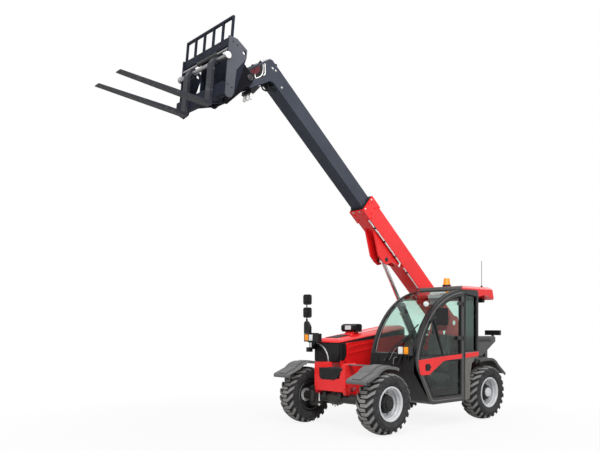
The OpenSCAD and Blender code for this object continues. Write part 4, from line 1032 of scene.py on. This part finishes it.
for side in SIDES:
    for s, t in ((5.0, 0.112), (5.18, -0.07)):
        y = side * PIPE_Y
        box((s - 0.014, y - 0.016, t - 0.02), (s + 0.014, y + 0.016, t + 0.012), in_boom)
for k in range(3):
    line = ((4.78, -0.104), (4.8, -0.15), (4.85, -0.18), (4.9, -0.16))
    hose(in_boom, [(s + 0.02 * k, 0.05 - 0.05 * k, t) for s, t in line], 0.011)
plate([(5.01, -0.352), (5.052, -0.452), (5.03, -0.49), (4.985, -0.47), (4.975, -0.3)], -0.1, 0.1, in_boom)
piece("head_clamps", "black_plastic", 0.002, "boom_ext")
for k in range(3):
    y = 0.07 - 0.065 * k
    a, b = in_boom(5.005, y, -0.47), in_boom(4.965, y, -0.548)
    rod(a, b, 0.016, 24)
    rod(a.lerp(b, 0.4), a.lerp(b, 0.62), 0.021, 6)
    rod(a.lerp(b, 0.8), a.lerp(b, 0.95), 0.0195, 24)
piece("head_couplers", "white_paint", 0, "boom_ext")


# Lift and tilt cylinders: glands, pipe with its clamps, pin caps

EYE = in_boom(1.83, 0, -0.3)
FOOT = at(-1.015, -0.12, 0.643)
LIFT = (EYE - FOOT).normalized()
side_y = Vector((0, 1, 0))
over = LIFT.cross(side_y).normalized()


def on_lift(d, y, t):
    return FOOT + LIFT * d + side_y * y + over * t


lathe([(0.0335, 1.325), (0.06, 1.325), (0.0655, 1.29), (0.0655, 1.318), (0.062, 1.346), (0.04, 1.352),
       (0.0335, 1.352), (0.0335, 1.325)], turned(FOOT, EYE), 40)
lathe([(0.0585, 0.1), (0.0625, 0.104), (0.0625, 0.136), (0.0585, 0.14)], turned(FOOT, EYE), 40)
piece("lift_gland", "cast_black", 0, "lift_barrel", 40)
hose(on_lift, [(1.24, 0, -0.06), (1.236, 0, -0.08), (1.15, 0, -0.081), (0.4, 0, -0.081), (0.25, 0, -0.078)], 0.008, 6)
for d in (1.23, 0.7, 0.3):
    box((d - 0.015, -0.016, -0.092), (d + 0.015, 0.016, -0.055), on_lift)
piece("lift_pipe", "zinc", 0.002, "lift_barrel")
for side in SIDES:
    rod(EYE + side_y * 0.06 * side, EYE + side_y * 0.098 * side, 0.036)
    bolt(EYE + side_y * 0.098 * side, side_y * side, 0.01, 0.008)
piece("lift_pin_caps", "cast_black", 0, "boom")

TILT_FOOT = in_boom(4.905, 0, 0.02)
LEVER = in_carriage(0.09, 0, 0.09)
lathe([(0.0235, 0.318), (0.0435, 0.318), (0.0465, 0.322), (0.0465, 0.344), (0.042, 0.35), (0.0235, 0.35),
       (0.0235, 0.318)], turned(TILT_FOOT, LEVER), 32)
piece("tilt_gland", "cast_black", 0, "tilt_barrel", 40)


# Carriage: lighter sheets on its ends as painted light, bolts, side-shift cylinder, pin heads, hoses

END_Y = 0.5
EYE_X, EYE_Z, EYE_R = 0.365, 0.057, 0.024
OUTER_PLATE = ([(EYE_X, 0.122), (0.327, 0.102), (0.327, 0.002), (EYE_X, -0.051)]
               + arc((EYE_X, EYE_Z), EYE_R, -pi / 2, -3 * pi / 2, 12))
INNER_PLATE = ([(EYE_X, -0.051), (0.455, -0.178), (0.467, -0.458), (0.492, -0.513), (0.527, -0.528), (0.567, -0.523),
                (0.587, -0.498), (0.587, 0.182), (0.477, 0.182), (EYE_X, 0.122)]
               + arc((EYE_X, EYE_Z), EYE_R, pi / 2, -pi / 2, 12))
# A lighter slate sheet over each end plate: painted light on the carriage's lit ends.
for outline in (OUTER_PLATE, INNER_PLATE):
    plates(outline, END_Y, END_Y + 0.004, in_carriage)
piece("end_plate_painted_light", "plate_slate", 0, "carriage")

for k in range(6):
    y = -0.488 + k * 0.1952
    for z in (0.11, 0.16):
        bolt(in_carriage(0.567, y, z), in_carriage(1, 0, 0) - CARRIAGE_PIVOT, 0.009, 0.008)
for side in SIDES:
    for x, z in ((0.53, 0.13), (0.47, 0.11), (0.56, -0.38), (0.5, -0.4)):
        bolt(in_carriage(x, side * END_Y, z), (0, side, 0), 0.011, 0.009)
piece("carriage_bolts", "cast_black", 0, "carriage")
end_caps(in_carriage, 0, 0.136, 0, [(0, 0), (0.04, 0), (0.04, 0.01), (0.034, 0.014), (0, 0.014)])


def shift_bar(y0, y1, r, seg=28):
    """A length of the side-shift cylinder across the carriage."""
    rod(in_carriage(0.575, y0, 0.036), in_carriage(0.575, y1, 0.036), r, seg)


shift_bar(-0.14, 0.26, 0.027)
for y in (-0.14, 0.236):
    shift_bar(y, y + 0.024, 0.03)
piece("shift_barrel", "cast_black", 0, "carriage")
for y0, y1 in ((-0.482, -0.13), (0.25, 0.482)):
    shift_bar(y0, y1, 0.014, 20)
piece("shift_rods", "shaft_steel", 0, "carriage")
end_caps(in_carriage, 0.592, 0.52, -0.058, [(0, 0), (0.038, 0), (0.038, 0.006), (0.03, 0.01), (0, 0.011)])
piece("carriage_pin_heads", "white_paint", 0, "carriage")
for side in SIDES:
    hose(in_carriage, [(x, side * y, z) for x, y, z in ((0.34, 0.15, -0.1), (0.3, 0.165, -0.18),
                                                        (0.31, 0.16, -0.28), (0.345, 0.15, -0.34))], 0.011)
piece("carriage_hoses", "seal_rubber", 0, "carriage", 60)


# Seat: stuffed cushion and back rest on a pedestal

VOXEL = 0.01
PRESSURE = 4.0
CLOTH_STEPS = 15
CHANNEL_PITCH = 0.075
CHANNEL_DEPTH = 0.006


def pad(name, size, where, cap):
    """A stuffed pad: a rounded block swollen by cloth pressure, each point moved no further than cap."""
    bmesh.ops.create_cube(bm, size=1.0)
    bmesh.ops.scale(bm, vec=size, verts=bm.verts)
    bmesh.ops.bevel(bm, geom=bm.edges[:], offset=min(size) * 0.32, segments=3, profile=0.6, affect="EDGES")
    mesh = bpy.data.meshes.new(name)
    bm.to_mesh(mesh)
    bm.clear()
    obj = put(name, mesh)
    obj.matrix_world = where
    net = obj.modifiers.new("net", "REMESH")
    net.mode = "VOXEL"
    net.voxel_size = VOXEL
    bake(obj)
    start = [v.co.copy() for v in obj.data.vertices]
    cloth = obj.modifiers.new("cloth", "CLOTH")
    cloth.settings.use_pressure = True
    cloth.settings.uniform_pressure_force = PRESSURE
    cloth.settings.effector_weights.gravity = 0.0
    for step in range(1, CLOTH_STEPS + 1):
        scene.frame_set(step)
    bake(obj)
    for v, p in zip(obj.data.vertices, start):
        d = v.co - p
        if d.length > cap:
            v.co = p + d.normalized() * cap
        channel = cos(p.y * pi / CHANNEL_PITCH) ** 8
        if p.z > size[2] * 0.2:
            v.co.z -= CHANNEL_DEPTH * channel
    scene.frame_set(1)
    obj.data.materials.clear()
    obj.data.materials.append(MATS["seat_vinyl"])
    obj.data.polygons.foreach_set("use_smooth", [True] * len(obj.data.polygons))
    fine = obj.modifiers.new("fine", "SUBSURF")
    fine.levels = fine.render_levels = 1
    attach(obj, "chassis")
    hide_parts("seat")


def bake(obj):
    """Replace the mesh by what its modifiers give."""
    seen = obj.evaluated_get(bpy.context.evaluated_depsgraph_get())
    mesh = bpy.data.meshes.new_from_object(seen)
    obj.modifiers.clear()
    obj.data = mesh


SEAT_LEAN = Matrix.Rotation(radians(-8), 4, "Y")
pad("seat_cushion", Vector((0.395, 0.44, 0.088)), Matrix.Translation(at(-0.235, 0.475, 0.676)), 0.014)
UPRIGHT = (Matrix.Translation(at(-0.45, 0.475, 0.705)) @ SEAT_LEAN @ Matrix.Translation((0.055, 0, 0.33))
           @ Matrix.Rotation(radians(90), 4, "Y"))
pad("seat_back", Vector((0.56, 0.395, 0.086)), UPRIGHT, 0.012)
box((-0.44, 0.262, 0.376), (-0.06, 0.688, 0.52))
for k in range(6):
    box((-0.425 + 0.004 * k, 0.28 + 0.003 * k, 0.522 + k * 0.017),
        (-0.075 - 0.004 * k, 0.67 - 0.003 * k, 0.534 + k * 0.017))
box((-0.44, 0.262, 0.616), (-0.04, 0.688, 0.628))
seat_base = piece("seat_base", "black_plastic", 0.006)
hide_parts("seat")

# Inside the cab: side console with lever, floor mat, rear shelf, display
plate([(-0.48, 0.376), (-0.48, 0.84), (-0.3, 0.88), (0.06, 0.86), (0.11, 0.8), (0.06, 0.376)], 0.108, 0.235)
plate([(-0.82, 0.96), (-0.82, 1.02), (-0.56, 1.02), (-0.56, 0.96)], 0.12, 0.82)
box((-0.38, 0.3, 0.375), (0.25, 0.8, 0.381))
plate([(0.21, 0.9), (0.3, 0.96), (0.29, 0.98), (0.195, 0.925)], 0.33, 0.61)
piece("cab_console", "black_plastic", 0.008)
hose(at, [(-0.06, 0.17, 0.86), (-0.052, 0.17, 0.93), (-0.03, 0.172, 0.99)], 0.012)
lathe([(0, 0), (0.018, 0.004), (0.026, 0.04), (0.024, 0.08), (0.014, 0.1), (0, 0.104)],
      turned(at(-0.032, 0.172, 0.98), at(-0.01, 0.174, 1.08)), 20)
hose(at, [(0.275, 0.64, 0.92), (0.28, 0.69, 0.945), (0.29, 0.73, 0.955)], 0.007)
for y in (0.39, 0.54):
    box((0.28, y, 0.42), (0.3, y + 0.075, 0.53))
piece("cab_levers", "black_plastic", 0.003)


# Rear lamp lenses, beacon base, front edge of the roof, rear louvres

for name, finish, y, w in (("tail_lenses", "red_lens", 0.7, 0.11), ("rear_turn_lenses", "amber_lens", 0.58, 0.1)):
    for side in SIDES:
        front_plate(rounded_rect(w, 0.058, 0.008, side * y, 1.325), -1.695, -1.688)
    piece(name, finish, 0.002)
lathe([(0.056, 0.0), (0.066, 0.0), (0.066, 0.01), (0.0645, 0.03), (0.06, 0.036), (0.056, 0.036), (0.056, 0.0)],
      Matrix.Translation(at(-0.65, 0.47, 2.0305)), 40)
piece("beacon_base", "black_plastic")
ROOF_EDGE = (-0.52, 1.985)
plate(arc(ROOF_EDGE, 0.0485, radians(62), 0, 8) + [(-0.4675, 1.9735), (-0.476, 1.9735)]
      + arc(ROOF_EDGE, 0.042, 0, radians(62), 8), 0.08, 0.86)
piece("roof_front_trim", "grey_plastic", 0.002)
for k in range(7):
    x = -1.38 + k * 0.052
    plates([(x, 1.185), (x + 0.012, 1.185), (x + 0.052, 1.235), (x + 0.04, 1.235)], 0.78, 0.785)
piece("rear_louvres", "black_plastic", 0.001)

# Front fenders: turned-down front lips
plates([(1.627, 0.7485), (1.637, 0.744), (1.644, 0.735), (1.647, 0.722), (1.645, 0.704), (1.64, 0.692), (1.633, 0.692),
        (1.637, 0.706), (1.638, 0.72), (1.635, 0.73), (1.629, 0.7365), (1.621, 0.74)], 0.561, 0.915)
piece("fender_lips", "fender_grey", 0.002)

# Axles: ring of cover bolts, brake lines
AXLE_X, AXLE_Z = 1.15, 0.415
for end in (1, -1):
    x = end * AXLE_X
    for y, z in spaced(12, 0.095):
        bolt(at(x + 0.135 * end, y, AXLE_Z + z), (end, 0, 0), 0.008, 0.008)
    for side in SIDES:
        hose(at, [(x - 0.01, side * 0.14, 0.49), (x - 0.012, side * 0.32, 0.486), (x - 0.01, side * 0.5, 0.49)],
             0.005, 6)
piece("axle_bolts", "cast_black")


# Floor, light and white surround

FLOOR = 60.0
floor_mesh = bpy.data.meshes.new("floor")
floor_mesh.from_pydata([(x * FLOOR, y * FLOOR, 0) for x, y in ((-1, -1), (1, -1), (1, 1), (-1, 1))], [], [(0, 1, 2, 3)])
floor = put("floor", floor_mesh)
floor.location.z = -0.0005


def seen_by_eye(tree):
    """1 for camera, mirror and see-through rays."""
    path = add(tree, "LightPath", {}).outputs
    bounced = math_node(tree, "MAXIMUM", path["Is Camera Ray"], path["Is Glossy Ray"])
    return math_node(tree, "MAXIMUM", bounced, path["Is Transmission Ray"])


def show(tree, share, a, b, end):
    """Give a tree's output a mix of two shaders."""
    mix = add(tree, "MixShader", {"Fac": share, 1: a, 2: b})
    tree.links.new(mix.outputs["Shader"], tree.nodes[end].inputs["Surface"])


def floor_material():
    grey = (0.5, 0.5, 0.5)
    mat, tree, shade = base("floor_white", grey, {"Roughness": 0.9})
    feed(tree, shade, {"Base Color": mottled(tree, grey, 1.5, 4.0, 0.98, 1.02)})
    far = add(tree, "VectorMath", {0: place(tree)}, operation="LENGTH").outputs["Value"]
    share = math_node(tree, "MULTIPLY", seen_by_eye(tree), remap(tree, far, 2.2, 5.5, 0.88, 1.0))
    show(tree, share, shade.outputs["BSDF"], add(tree, "Emission", {}).outputs["Emission"], "Material Output")
    return mat


floor_mesh.materials.append(floor_material())

world = bpy.data.worlds.new("surround")
scene.world = world
world.use_nodes = True
tree = world.node_tree
soft_light = tree.nodes["Background"]
feed(tree, soft_light, {"Color": (1, 1, 1, 1), "Strength": 0.55})
white_back = add(tree, "Background", {"Color": (1, 1, 1, 1), "Strength": 1.0})
show(tree, seen_by_eye(tree), soft_light.outputs["Background"], white_back.outputs["Background"], "World Output")


def lamp(name, where, aim, size, power):
    light = bpy.data.lights.new(name, "AREA")
    light.shape = "SQUARE"
    light.size = size
    light.energy = power
    obj = put(name, light)
    obj.location = where
    obj.rotation_euler = (Vector(aim) - Vector(where)).to_track_quat("-Z", "Y").to_euler()


MIDDLE = at(0.2, 0, 1.5)
lamp("key", at(4.5, 6.0, 7.5), MIDDLE, 5.0, 780)
lamp("front", at(8.5, 0.5, 11.0), MIDDLE, 6.0, 720)
lamp("back", at(-7.0, 2.0, 6.0), MIDDLE, 4.0, 260)

scene.view_settings.view_transform = "Standard"
